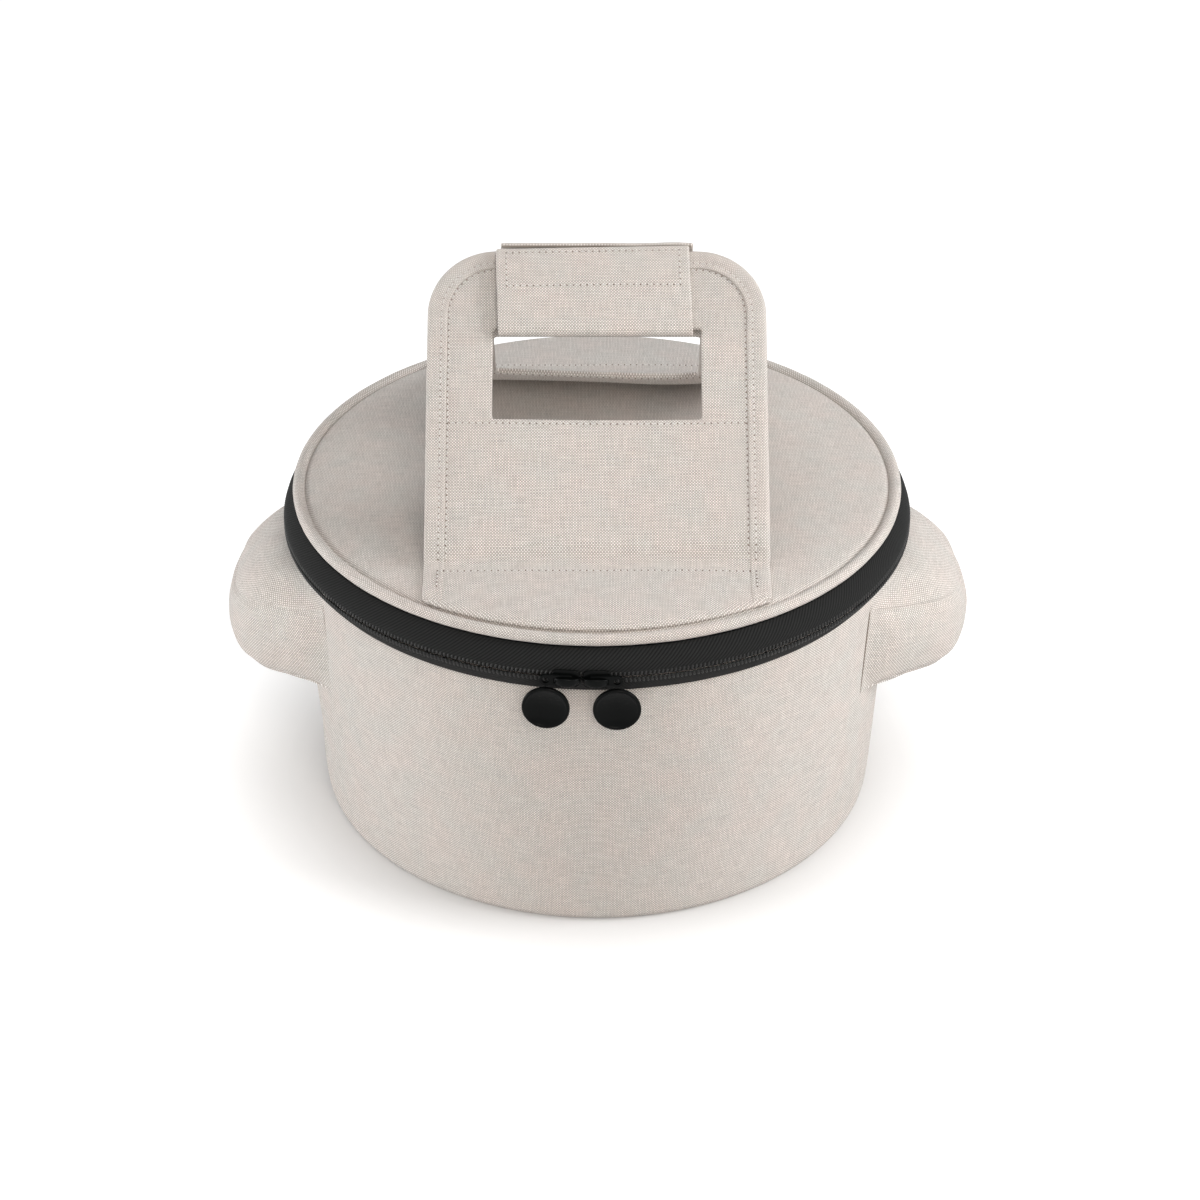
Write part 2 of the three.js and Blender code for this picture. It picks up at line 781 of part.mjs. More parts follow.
const closureStack = handleThickness / 2 + 2 * (gap + closureThickness) + gap;

function gripLoops() {
  const lift = (bindingThickness / 2) * Math.sin((rearStrapAngle - frontLean) * degree);
  const frontLine = along(frontStrapFoot, frontOut, closureStack);
  const rearSide = bindingThickness / 2 + wrapClearance;
  const rearLine = along(rearStrapFoot, rearOut, rearSide);
  const footRun = unit(rearStrapFoot, frontStrapFoot);
  const footDrop = [-footRun[1], footRun[0]];
  const below = along(
    along(rearStrapFoot, footDrop, wrapClearance),
    rearAlong,
    -handleThickness / 2,
  );
  const over = along(frontTop, frontAlong, wrapClearance + lift);
  return loopOf([
    [frontLine, frontAlong],
    [over, frontOut],
    [rearLine, rearAlong],
    [below, footRun],
  ]);
}

// Corner points of a closed loop of lines: front top, rear top, rear foot, front foot.
function loopOf(lines) {
  return lines.map(([p, d], i) => crossing(p, d, ...lines[(i + 1) % lines.length]));
}

function offsetLoop(points, distance) {
  const lines = points.map((p, i) => {
    const d = unit(p, points[(i + 1) % points.length]);
    return [along(p, [-d[1], d[0]], distance), d];
  });
  return loopOf([lines[lines.length - 1], ...lines.slice(0, -1)]);
}

function grip() {
  const inner = gripLoops();
  const outer = offsetLoop(inner, wrapThickness);
  const [frontTopIn, rearTopIn, rearFootIn, frontFootIn] = inner;
  const [frontTopOut, rearTopOut, rearFootOut, frontFootOut] = outer;
  const back = [frontTopOut, rearTopOut, rearFootOut, rearFootIn, rearTopIn, frontTopIn];
  const down = unit(frontTopIn, frontFootIn);
  const forward = unit(rearFootIn, frontFootIn);
  const flap = [
    along(frontTopOut, down, gap),
    frontFootOut,
    along(rearFootOut, forward, gap),
    along(rearFootIn, forward, gap),
    frontFootIn,
    along(frontTopIn, down, gap),
  ];
  const stripAt = (height) => {
    const start = along(
      along(frontStrapFoot, frontAlong, closureFoot),
      frontOut,
      handleThickness / 2 + gap + height + closureThickness / 2,
    );
    return slab([start, along(start, frontAlong, closureHeight)], closureThickness, closureWidth);
  };
  return {
    back: piece("grip_back", drawn(back, gripWidth), "canvas"),
    flap: piece("grip_flap", drawn(flap, gripWidth), "pale"),
    loop: piece("loop_strip", stripAt(0), "closure"),
    hook: piece("hook_strip", stripAt(closureThickness + gap), "closure"),
  };
}

function handles() {
  const group = new THREE.Group();
  const wrap = grip();
  group.add(
    ...handle("front", [frontBase, frontTop]),
    ...handle("rear", rearPath()),
    wrap.back,
    wrap.flap,
    wrap.loop,
    wrap.hook,
  );
  group.position.z = lidTop;
  return group;
}

// Zip sliders and pulls, drawn with x along the track, y out from the wall and z up, from a slider's middle.

const coilMiddle = bandRadius(zipHeight) - tape / 2;
const coilOuter = coilMiddle + coilDepth / 2;
const coilInner = coilMiddle - coilDepth / 2;
const plateOuter = coilOuter + sliderRun + sliderPlate;
const linkMiddle = plateOuter + linkPlay + linkThickness / 2;
const crownInner = linkMiddle + linkThickness / 2 + linkPlay;
const linkHalfHeight = crownHeight / 2 + gap + linkArm;
const eyeHalfHeight = linkEyeRadius + linkEyeRim;

// A block between two corners.
function block(x0, y0, z0, x1, y1, z1) {
  const geometry = new THREE.BoxGeometry(x1 - x0, y1 - y0, z1 - z0);
  geometry.translate((x0 + x1) / 2, (y0 + y1) / 2, (z0 + z1) / 2);
  return geometry;
}

function slider() {
  const start = -sliderLength / 2;
  const end = sliderLength / 2;
  const high = sliderHeight / 2;
  const backHigh = coilSpace / 2 + coilHeight - backPlateInset;
  const backOuter = coilInner - sliderRun;
  const corner = sliderHeight / 4;
  const face = new THREE.Shape();
  face.moveTo(start, -high + corner);
  face.lineTo(start + corner, -high);
  face.lineTo(end - corner, -high);
  face.lineTo(end, -high + corner);
  face.lineTo(end, high - corner);
  face.lineTo(end - corner, high);
  face.lineTo(start + corner, high);
  face.lineTo(start, high - corner);
  const front = plate(face, sliderPlate);
  front.rotateX(Math.PI / 2);
  front.translate(0, plateOuter, 0);
  const back = block(start, backOuter - sliderPlate, -backHigh, end, backOuter, backHigh);
  const post = block(
    start,
    backOuter - sliderPlate / 2,
    -postHeight / 2,
    start + postLength,
    plateOuter - sliderPlate / 2,
    postHeight / 2,
  );
  const crown = block(
    -crownLength / 2,
    plateOuter - sliderPlate / 2,
    -crownHeight / 2,
    crownLength / 2,
    crownInner + crownBar,
    crownHeight / 2,
  );
  const hollow = block(
    -crownLength / 2 + crownBar,
    plateOuter,
    -crownHeight,
    crownLength / 2 - crownBar,
    crownInner,
    crownHeight,
  );
  return join(front, back, post, cut(crown, hollow));
}

function pullLink() {
  const shape = new THREE.Shape();
  const start = linkPinPlace - linkPin / 2;
  const eye = linkPinPlace + linkEyePlace;
  shape.moveTo(start, -linkHalfHeight);
  shape.lineTo(eye, -eyeHalfHeight);
  shape.absarc(eye, 0, eyeHalfHeight, -Math.PI / 2, Math.PI / 2, false);
  shape.lineTo(start, linkHalfHeight);
  const frame = new THREE.Path();
  const inner = crownHeight / 2 + gap;
  frame.moveTo(linkPinPlace + linkPin / 2, -inner);
  frame.lineTo(linkPinPlace + linkPin / 2, inner);
  frame.lineTo(linkPinPlace + linkWindow, inner);
  frame.lineTo(linkPinPlace + linkWindow, -inner);
  const hole = new THREE.Path();
  hole.absarc(eye, 0, linkEyeRadius, 0, 2 * Math.PI, true);
  shape.holes.push(frame, hole);
  const geometry = plate(shape, linkThickness, cornerSteps);
  geometry.rotateX(Math.PI / 2);
  geometry.translate(0, linkMiddle + linkThickness / 2, 0);
  return geometry;
}

const ringCentre = -ringRadius;
const discCentre = ringCentre - ringRadius - ringWire + ringSink - discRadius;

function pullDisc() {
  const half = discThickness / 2;
  const dished = discRadius - discRim;
  const round = new THREE.LatheGeometry(
    [
      [0, discDish - half],
      [dished, discDish - half],
      [dished, -half],
      [discRadius, -half],
      [discRadius, half],
      [dished, half],
      [dished, half - discDish],
      [0, half - discDish],
    ].map(([r, z]) => new THREE.Vector2(r, z)),
    discSteps,
  );
  const face = outward(mergeVertices(bare(round), weld));
  face.translate(linkPinPlace + linkEyePlace, linkMiddle, discCentre);
  const ring = new THREE.TorusGeometry(ringRadius, ringWire, wireSteps, 2 * wireSteps);
  ring.rotateY(Math.PI / 2);
  ring.translate(linkPinPlace + linkEyePlace, linkMiddle, ringCentre);
  return join(face, ring);
}

function mirrored(geometry) {
  const turnedRound = geometry.index ? geometry.clone() : mergeVertices(bare(geometry), weld);
  turnedRound.scale(-1, 1, 1);
  return outward(turnedRound);
}

function pull(name, side) {
  const group = new THREE.Group();
  const placed = (geometry) => (side > 0 ? mirrored(geometry) : geometry);
  group.add(
    piece(`slider_${name}`, placed(slider()), "metal"),
    piece(`pull_link_${name}`, placed(pullLink()), "metal"),
    piece(`pull_disc_${name}`, placed(pullDisc()), "metal"),
  );
  group.position.z = zipHeight;
  const fromMeeting = sliderNose + sliderLength / 2;
  group.rotation.z = Math.PI + (slidersOffCentre + side * fromMeeting) / bandRadius(zipHeight);
  return group;
}

const carrier = new THREE.Group();
carrier.add(
  body(),
  ear("left", -1),
  ear("right", 1),
  lowerBand(),
  upperBand(),
  lidShell(),
  anchor("front_anchor", frontFoot, -1),
  anchor("rear_anchor", rearFoot, 1),
  handles(),
  pull("left", -1),
  pull("right", 1),
);

export default carrier;
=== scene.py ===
"""The looks of a round insulated carrier for a casserole dish.

Canvas is cut as flat pattern pieces, which carry the weave, and is then bent, sewn and puffed into
place round the packed solids. Lengths are in metres, +Z is up and the front faces -Y."""
import json
import math

import bmesh
import bpy
from bpy.props import FloatProperty, FloatVectorProperty, IntProperty, PointerProperty
from mathutils import Matrix, Vector, noise
from mathutils.bvhtree import BVHTree


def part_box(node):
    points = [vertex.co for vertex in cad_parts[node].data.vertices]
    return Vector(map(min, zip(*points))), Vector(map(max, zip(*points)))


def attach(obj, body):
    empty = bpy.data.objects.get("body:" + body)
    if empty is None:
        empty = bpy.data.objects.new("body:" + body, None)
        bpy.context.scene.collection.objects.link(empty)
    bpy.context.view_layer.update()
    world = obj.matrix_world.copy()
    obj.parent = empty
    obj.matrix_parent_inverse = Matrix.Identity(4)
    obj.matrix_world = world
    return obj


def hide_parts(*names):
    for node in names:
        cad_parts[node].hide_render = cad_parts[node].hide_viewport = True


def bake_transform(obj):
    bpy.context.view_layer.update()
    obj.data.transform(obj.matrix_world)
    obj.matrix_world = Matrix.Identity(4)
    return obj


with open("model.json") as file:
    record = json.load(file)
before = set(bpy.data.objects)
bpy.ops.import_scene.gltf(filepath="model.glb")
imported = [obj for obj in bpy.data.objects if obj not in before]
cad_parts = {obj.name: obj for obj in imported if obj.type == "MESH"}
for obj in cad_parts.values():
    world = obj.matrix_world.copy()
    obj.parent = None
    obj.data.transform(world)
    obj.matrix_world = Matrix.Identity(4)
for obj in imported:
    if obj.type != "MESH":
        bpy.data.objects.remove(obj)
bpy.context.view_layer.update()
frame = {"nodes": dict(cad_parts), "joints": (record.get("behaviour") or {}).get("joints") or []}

bl_info = {
    "name": "Casserole Carrier",
    "version": (1, 0, 0),
    "blender": (4, 5, 0),
    "location": "3D View > Sidebar > Carrier",
    "description": "Dresses the solids of a round insulated casserole carrier in sewn canvas",
    "category": "Object",
}

MM = 0.001
WEAVE = "weave"
PROUD = 0.05 * MM  # How far a row of stitches stands out from its cloth.
JOINTS = {joint["name"]: joint for joint in frame["joints"]}
BOXES = {node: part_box(node) for node in frame["nodes"]}


def low(node):
    return BOXES[node][0]


def high(node):
    return BOXES[node][1]


# Sizes and colours that a user would change.


def length(name, description, millimetres):
    return FloatProperty(
        name=name, description=description, default=millimetres * MM, unit="LENGTH", precision=5
    )


def angle(name, description, degrees):
    return FloatProperty(
        name=name, description=description, default=math.radians(degrees), subtype="ANGLE"
    )


def number(name, description, value):
    return FloatProperty(name=name, description=description, default=value)


def colour(name, description, value):
    return FloatVectorProperty(
        name=name, description=description, default=value, subtype="COLOR", size=3, min=0, max=1
    )


class CarrierFinishes(bpy.types.PropertyGroup):
    """Colours of the cloth, the zip and its metal"""

    warp: colour("Warp", "Colour of the pale threads of the canvas", (0.93, 0.9, 0.87))
    weft: colour("Weft", "Colour of the darker threads of the canvas", (0.52, 0.472, 0.435))
    shade: colour("Shade", "Colour down between the threads", (0.31, 0.275, 0.24))
    # The needle holes' colour is painted shade down in the holes.
    hole: colour("Needle holes", "Colour where the needle went in", (0.20, 0.155, 0.13))
    lining: colour("Lining", "Colour of the wipe-clean lining", (0.52, 0.52, 0.53))
    zip: colour("Zip", "Colour of the zip tape and its teeth", (0.01, 0.0103, 0.0103))
    metal: colour("Zip metal", "Colour of the sliders and pulls", (0.003, 0.0035, 0.0035))
    thread: length("Thread pitch", "Distance between two threads of the canvas", 0.74)


class CarrierCloth(bpy.types.PropertyGroup):
    """Sizes of the canvas, its puff and its stitches"""

    canvas: length("Canvas", "Thickness of the outer canvas", 1.2)
    lining: length("Lining", "Thickness of the lining", 0.8)
    wall_puff: length("Wall puff", "How far the padded wall swells at most", 1.8)
    ear_puff: length("Ear puff", "How far the ears swell at most", 7)
    lid_puff: length("Lid puff", "How far the lid swells at most", 1.9)
    pitch: length("Stitch pitch", "Distance between two needle holes", 3.3)
    thread: length("Thread radius", "Half the thickness of the sewing thread", 0.24)
    frames: IntProperty(name="Frames", description="Steps of each cloth simulation", default=20)


class CarrierEars(bpy.types.PropertyGroup):
    """Sizes of the two ears"""

    half_span: length("Half span", "From the middle of an ear to its end, along the wall", 68)
    reach: length("Reach", "How far an ear stands out past the wall", 35.5)
    lip: length("Lip", "How far the ends of an ear stand proud of the wall", 1.5)
    depth: length("Depth", "From the wall's top down to the lower seam", 62)
    nose_drop: length("Nose drop", "From the wall's top down to the top seam in the middle", 30)
    end_drop: length("End drop", "From the wall's top down to the top seam at the ends", 12)
    seam_power: number("Seam power", "How evenly the top seam climbs to the ends", 1.3)
    seam: length("Seam", "How deep the ears' seams are drawn in", 2.2)


class CarrierHandles(bpy.types.PropertyGroup):
    """Sizes of the two handles and the grip"""

    reach: length("Length", "Length of a handle from its foot to its top edge", 169.6)
    corner: length("Corner", "Radius of the top corners", 34)
    band: length("Edge band", "Width of the folded edge", 10)
    seam: length("Edge stitches", "Distance of the outer row of stitches from the edge", 7)
    thickness: length("Thickness", "Thickness of the folded edge", 4.4)
    panel: length("Panel", "Thickness of the panel", 2.6)
    window_width: length("Window width", "Width of the window", 103)
    window_foot: length("Window foot", "Distance from the foot to the window", 80)
    strap: length("Strap", "Width of the strap over the window", 42)
    hem: length("Hem", "Distance of the hem's stitches from the window", 2.4)
    lean: angle("Lean", "Angle of the front handle above the lid", 40)
    rear_strap: angle("Rear strap", "Angle of the rear handle's strap above the lid", 53)
    foot_tilt: angle("Grip's foot", "How steeply the grip's lower side falls to the rear", 24)
    wrap: length("Wrap", "Thickness of the grip's cloth", 2.4)
    closure: length("Closure", "From the middle of the front strap to the inside of the grip", 4.2)
    clearance: length("Wrap clearance", "Room between the grip's cloth and the straps", 0.4)


class CarrierZip(bpy.types.PropertyGroup):
    """Sizes of the zip band"""

    bulge: length("Bulge", "How far the band stands out past the top of the wall", 7.8)
    bulge_rise: length("Bulge rise", "Height of the band's widest place above the wall", 14)
    tuck: length("Tuck", "Radius of the band's upper edge past the wall's top", 1)
    pitch: length("Tooth pitch", "Distance between two turns of the coil", 2.05)
    tooth: length("Tooth length", "Height of one turn of the coil", 2.9)
    rib: length("Tape rib", "Distance between two ribs of the tape's twill", 1.3)


class CarrierPulls(bpy.types.PropertyGroup):
    """Sizes of the zip's sliders and pulls"""

    slider: length("Slider", "Length of a slider along the zip", 13.2)
    height: length("Slider height", "Height of a slider across the zip", 9.5)
    plate: length("Plate", "Thickness of a slider's plate", 1.2)
    play: length("Play", "Room between a slider's plate and the pull's link", 0.5)
    link: length("Link", "Thickness of the pull's link", 1.4)
    pin: length("Pin", "From the middle of a slider to the pin its link turns on", 2.3)
    eye: length("Eye", "From the link's pin to the middle of its eye", 11.8)
    ring: length("Ring", "Radius of the ring that hangs the disc", 2.3)
    wire: length("Wire", "Radius of that ring's wire", 0.6)
    disc: length("Disc", "Radius of a disc", 11.5)
    disc_thickness: length("Disc thickness", "Thickness of a disc's rim", 2.2)
    rim: length("Disc rim", "Width of a disc's raised rim", 1.6)
    dish: length("Dish", "Depth of the dish inside the rim", 0.6)


class CarrierStage(bpy.types.PropertyGroup):
    """Camera and light"""

    distance: number("Distance", "From the camera to the carrier, in metres", 1.7)
    elevation: angle("Elevation", "Angle that the camera looks down", 32.36)
    lens: number("Lens", "Focal length in millimetres", 97.5)
    target: length("Target", "Height that the camera looks at", 99.5)
    world: number("World", "Strength of the light from all round", 0.37)
    left: number("Left lamp", "Power of the low lamp on the left in watts", 22)
    right: number("Right lamp", "Power of the higher lamp on the right in watts", 18)
    key: number("Key lamp", "Power of the warm lamp by the camera in watts", 7.4)
    top: number("Top lamp", "Power of the top lamp in watts", 4)
    # The floor's camera-only glow is low by the drum and high further off, which paints the floor
    # darker round the drum's foot: a painted shadow.
    glow_near: number("Glow near", "White that only the camera sees on the floor by the drum", 0.08)
    glow_far: number("Glow far", "White that only the camera sees on the floor further off", 0.6)


# Materials.


class Recipe:
    """Adds nodes to a new material and links them in one call each."""

    def __init__(self, name, roughness, specular=0.3):
        self.material = bpy.data.materials.new(name)
        self.material.use_nodes = True
        self.tree = self.material.node_tree
        self.shader = self.tree.nodes["Principled BSDF"]
        self.feed(self.shader, "Roughness", roughness)
        self.feed(self.shader, "Specular IOR Level", specular)

    def add(self, kind, inputs=None, **settings):
        node = self.tree.nodes.new(kind)
        for key, value in settings.items():
            setattr(node, key, value)
        for key, value in (inputs or {}).items():
            self.feed(node, key, value)
        return node

    def feed(self, node, key, value):
        if isinstance(value, bpy.types.Node):
            value = value.outputs[0]
        if isinstance(value, bpy.types.NodeSocket):
            self.tree.links.new(value, node.inputs[key])
        else:
            node.inputs[key].default_value = value

    def sum(self, operation, *values):
        return self.add("ShaderNodeMath", dict(enumerate(values)), operation=operation)

    def mix(self, share, a, b, blend="MIX"):
        """A colour between a and b. A Mix node's colour sockets are its seventh and eighth."""
        node = self.add("ShaderNodeMix", {0: share, 6: a, 7: b}, data_type="RGBA", blend_type=blend)
        return node.outputs[2]

    def noise(self, vector, scale, detail=2):
        return self.add("ShaderNodeTexNoise", {"Vector": vector, "Scale": scale, "Detail": detail})

    def level(self, value, from_low, from_high, to_low, to_high):
        inputs = dict(enumerate((value, from_low, from_high, to_low, to_high)))
        return self.add("ShaderNodeMapRange", inputs)

    def bump(self, height, distance, strength=1):
        node = self.add(
            "ShaderNodeBump", {"Height": height, "Distance": distance, "Strength": strength}
        )
        self.feed(self.shader, "Normal", node)

    def threads(self, pitch, turn=0):
        """The place on the cloth, counted in threads."""
        chart = self.add("ShaderNodeUVMap", uv_map=WEAVE)
        scaled = self.add("ShaderNodeMapping", {"Vector": chart})
        scaled.inputs["Scale"].default_value = (1 / pitch, 1 / pitch, 1)
        scaled.inputs["Rotation"].default_value = (0, 0, turn)
        return scaled

    def parts(self, threads):
        """The places across and along the cloth, apart."""
        return self.add("ShaderNodeSeparateXYZ", {0: threads}).outputs[:2]

    def ridge(self, value):
        """1 on the middle of each whole step of a value and 0 between two steps."""
        return self.sum("MULTIPLY", self.sum("PINGPONG", value, 0.5), 2)

    def place(self):
        return self.add("ShaderNodeTexCoord").outputs["Object"]

    def flecks(self, threads, along, across):
        """0 to 1, drawn out into flecks along one set of threads."""
        inputs = {0: threads, 1: (along, across, 1)}
        vector = self.add("ShaderNodeVectorMath", inputs, operation="MULTIPLY")
        return self.level(self.noise(vector, 1, 1), 0.32, 0.68, 0, 1)

    def tones(self, share, value, dark, light):
        """One colour, from dark to light times its own tone."""
        return self.mix(share, rgba(value, dark), rgba(value, light))

    def paint(self, tone):
        self.feed(self.shader, "Base Color", tone)


def rgba(value, scale=1):
    return (*(channel * scale for channel in value), 1)


def kept(build):
    """Makes a material once and then gives back the same one."""

    def get():
        name = build.__name__ + "_look"
        return bpy.data.materials.get(name) or build(name)

    return get


def finishes():
    return bpy.context.scene.carrier_finishes


@kept
def canvas(name):
    """Plain weave of pale warp and darker weft, with slubs and faint patches of tone."""
    colours = finishes()
    recipe = Recipe(name, roughness=0.92, specular=0.15)
    threads = recipe.threads(colours.thread)
    across, along = recipe.parts(threads)
    over = recipe.add("ShaderNodeTexChecker", {"Vector": threads, "Scale": 1}).outputs["Fac"]
    rounds = [recipe.sum("SQRT", recipe.ridge(part)) for part in (across, along)]
    height = recipe.sum("MULTIPLY", *rounds)
    warp_tone = recipe.tones(recipe.flecks(threads, 0.9, 0.07), colours.warp, 0.86, 1.08)
    weft_tone = recipe.tones(recipe.flecks(threads, 0.07, 0.9), colours.weft, 0.78, 1.22)
    tone = recipe.mix(over, weft_tone, warp_tone)
    deep = recipe.mix(recipe.level(height, 0, 0.55, 0, 1), rgba(colours.shade), tone)
    patch = recipe.level(recipe.noise(threads, 0.035), 0.35, 0.65, 0, 1)
    toned = recipe.mix(patch, (1.02, 0.99, 0.985, 1), (0.975, 0.99, 0.99, 1))
    recipe.paint(recipe.mix(1, deep, toned, "MULTIPLY"))
    recipe.feed(recipe.shader, "Sheen Weight", 0.12)
    recipe.feed(recipe.shader, "Sheen Roughness", 0.6)
    recipe.bump(height, 0.22 * MM, 0.7)
    return recipe.material


@kept
def sewing_thread(name):
    colours = finishes()
    recipe = Recipe(name, roughness=0.7)
    twist = recipe.noise(recipe.place(), 2600, 1)
    recipe.paint(recipe.tones(twist, colours.warp, 0.66, 0.86))
    recipe.bump(twist, 0.05 * MM)
    return recipe.material


# Needle holes: a dark colour for the pits where the needle went in, painted shade.
@kept
def needle_hole(name):
    colours = finishes()
    recipe = Recipe(name, roughness=1, specular=0)
    depth = recipe.noise(recipe.place(), 900, 1)
    recipe.paint(recipe.tones(depth, colours.hole, 0.6, 1.5))
    return recipe.material


@kept
def lining_cloth(name):
    """Coated lining: a fine weave under a soft sheen, with faint creases whose hollows are painted
    darker and whose ridges lighter: painted shade and highlight.
    """
    colours = finishes()
    recipe = Recipe(name, roughness=0.5, specular=0.4)
    threads = recipe.threads(0.5 * MM)
    height = recipe.sum("ADD", *(recipe.ridge(part) for part in recipe.parts(threads)))
    crease = recipe.noise(threads, 0.03, 4)
    both = recipe.sum("ADD", recipe.sum("MULTIPLY", crease, 6), height)
    # The colour follows the creases: painted shade in their hollows and a painted highlight on
    # their ridges.
    recipe.paint(recipe.tones(crease, colours.lining, 0.85, 1.15))
    recipe.bump(both, 0.12 * MM, 0.8)
    return recipe.material


@kept
def zip_tape(name):
    """Black tape in steep twill, painted lighter on its ribs and darker in its grooves: a painted
    highlight and painted shade.
    """
    colours = finishes()
    rib = bpy.context.scene.carrier_zip.rib
    recipe = Recipe(name, roughness=0.8, specular=0.1)
    threads = recipe.threads(rib, math.radians(-38))
    across, along = recipe.parts(threads)
    twill = recipe.ridge(along)
    fine = recipe.ridge(recipe.sum("MULTIPLY", across, 2.5))
    height = recipe.sum("MULTIPLY", recipe.sum("SQRT", twill), recipe.level(fine, 0, 1, 0.7, 1))
    # The colour follows the twill's height: painted shade in the grooves and a painted highlight on
    # the ribs.
    recipe.paint(recipe.tones(height, colours.zip, 0.3, 2.6))
    recipe.bump(height, 0.3 * MM)
    return recipe.material


@kept
def zip_coil(name):
    """Black nylon, faintly scuffed."""
    colours = finishes()
    recipe = Recipe(name, roughness=0.42)
    scuff = recipe.noise(recipe.place(), 700)
    recipe.paint(recipe.tones(scuff, colours.zip, 0.8, 1.8))
    recipe.feed(recipe.shader, "Roughness", recipe.level(scuff, 0.3, 0.7, 0.34, 0.5))
    return recipe.material


@kept
def zip_metal(name):
    """Gloss black paint on cast zinc, with a fine orange peel."""
    colours = finishes()
    recipe = Recipe(name, roughness=0.2, specular=0.06)
    place = recipe.place()
    peel = recipe.noise(place, 900)
    wear = recipe.noise(place, 160, 4)
    recipe.paint(recipe.tones(wear, colours.metal, 0.7, 1.5))
    recipe.feed(recipe.shader, "Roughness", recipe.level(wear, 0.3, 0.7, 0.15, 0.27))
    recipe.bump(peel, 0.02 * MM, 0.5)
    return recipe.material


@kept
def hook_and_loop(name):
    """Fuzzy loops and stiff hooks on a woven strip."""
    colours = finishes()
    recipe = Recipe(name, roughness=1, specular=0.1)
    fuzz = recipe.noise(recipe.place(), 1500, 3)
    recipe.paint(recipe.mix(fuzz, rgba(colours.weft, 0.8), rgba(colours.warp)))
    recipe.bump(fuzz, 0.5 * MM)
    return recipe.material


# Cutting, bending and sewing.


def between(a, b, share):
    return a + (b - a) * share


def smooth(value, start, end):
    """0 before start, 1 after end and an even rise between them."""
    share = min(max((value - start) / (end - start), 0), 1)
    return share * share * (3 - 2 * share)


def lay_weave(bm, faces=None, axes=(0, 1)):
    """Gives faces the weave as they lie now, on two of the axes."""
    layer = bm.loops.layers.uv.get(WEAVE) or bm.loops.layers.uv.new(WEAVE)
    for face in bm.faces if faces is None else faces:
        for loop in face.loops:
            loop[layer].uv = [loop.vert.co[axis] for axis in axes]


def cut_cloth(width, height, across, up):
    """A flat rectangle of cloth from (0, 0) to (width, height), with the weave laid on it."""
    bm = bmesh.new()
    bmesh.ops.create_grid(bm, x_segments=across, y_segments=up, size=0.5)
    bmesh.ops.translate(bm, vec=(0.5, 0.5, 0), verts=bm.verts)
    bmesh.ops.scale(bm, vec=(width, height, 1), verts=bm.verts)
    lay_weave(bm)
    return bm


def cut_on_lines(across, up):
    """A flat cloth whose threads of points lie at the given places across and up."""
    bm = bmesh.new()
    bmesh.ops.create_grid(bm, x_segments=len(across) - 1, y_segments=len(up) - 1, size=0.5)
    for vert in bm.verts:
        column = round((vert.co.x + 0.5) * (len(across) - 1))
        row = round((vert.co.y + 0.5) * (len(up) - 1))
        vert.co = Vector((across[column], up[row], 0))
    return bm


def lines(start, end, count, *keys):
    """Even places from start to end, the nearest of them moved on to each key."""
    places = [between(start, end, i / count) for i in range(count + 1)]
    for key in keys:
        nearest = min(range(count + 1), key=lambda i: abs(places[i] - key))
        places[nearest] = key
    return places


def rounded(a, b):
    """A point of the square from -1 to 1 moved on to the round that has the same rings."""
    if abs(a) < 1e-9 and abs(b) < 1e-9:
        return 0, 0
    if abs(a) >= abs(b):
        turn = math.pi / 4 * b / a
        return a * math.cos(turn), a * math.sin(turn)
    turn = math.pi / 4 * a / b
    return b * math.sin(turn), b * math.cos(turn)


def cut_disc(radius, steps, edge, edge_share=0.75):
    """A flat round of cloth, its rings close together over the outermost stretch called edge."""
    bm = bmesh.new()
    bmesh.ops.create_grid(bm, x_segments=steps, y_segments=steps, size=1)
    for vert in bm.verts:
        a, b = rounded(vert.co.x, vert.co.y)
        ring = math.hypot(a, b)
        if ring > 1e-6:
            inner = radius - edge
            if ring < edge_share:
                reach = inner * ring / edge_share
            else:
                reach = inner + edge * (ring - edge_share) / (1 - edge_share)
            vert.co = Vector((a, b, 0)) * (reach / ring)
    lay_weave(bm)
    return bm


def bend(bm, place):
    for vert in bm.verts:
        vert.co = place(*vert.co)


def cut_out(bm, inside):
    """Cuts a window: the faces whose middle is inside it."""
    window = [face for face in bm.faces if inside(face.calc_center_median())]
    bmesh.ops.delete(bm, geom=window, context="FACES")


def crumple(piece, keep, *waves):
    """Soft unevenness along the normals, less where keep is small. A wave is amount, size, seed."""
    bm = bmesh.new()
    bm.from_mesh(piece.data)
    for amount, size, seed in waves:
        bm.normal_update()
        moves = []
        for vert in bm.verts:
            wave = noise.noise(vert.co / size + Vector((seed, 0, 0)))
            moves.append(vert.normal * (wave * amount * keep(vert.co)))
        for vert, move in zip(bm.verts, moves):
            vert.co += move
    bm.to_mesh(piece.data)
    bm.free()


def weld(bm, distance=0.01 * MM):
    bmesh.ops.remove_doubles(bm, verts=bm.verts, dist=distance)


def close_ends(bm):
    """Fills the open ends of a tube."""
    bmesh.ops.holes_fill(bm, edges=[edge for edge in bm.edges if edge.is_boundary], sides=0)


def face_out(bm):
    bmesh.ops.recalc_face_normals(bm, faces=bm.faces)


def turn_over(bm):
    bmesh.ops.reverse_faces(bm, faces=bm.faces)


def face_towards(bm, way, seen=lambda co: True):
    """Turns a cloth over when those of its faces that are seen look away from a direction."""
    bm.normal_update()
    faces = [face for face in bm.faces if seen(face.calc_center_median())]
    if sum(face.normal.dot(way) * face.calc_area() for face in faces) < 0:
        turn_over(bm)


def copy_of(node):
    """A merged copy of a packed solid's mesh, its flat faces whole."""
    bm = bmesh.new()
    bm.from_mesh(frame["nodes"][node].data)
    weld(bm)
    bmesh.ops.dissolve_limit(bm, angle_limit=math.radians(1), verts=bm.verts, edges=bm.edges)
    return bm


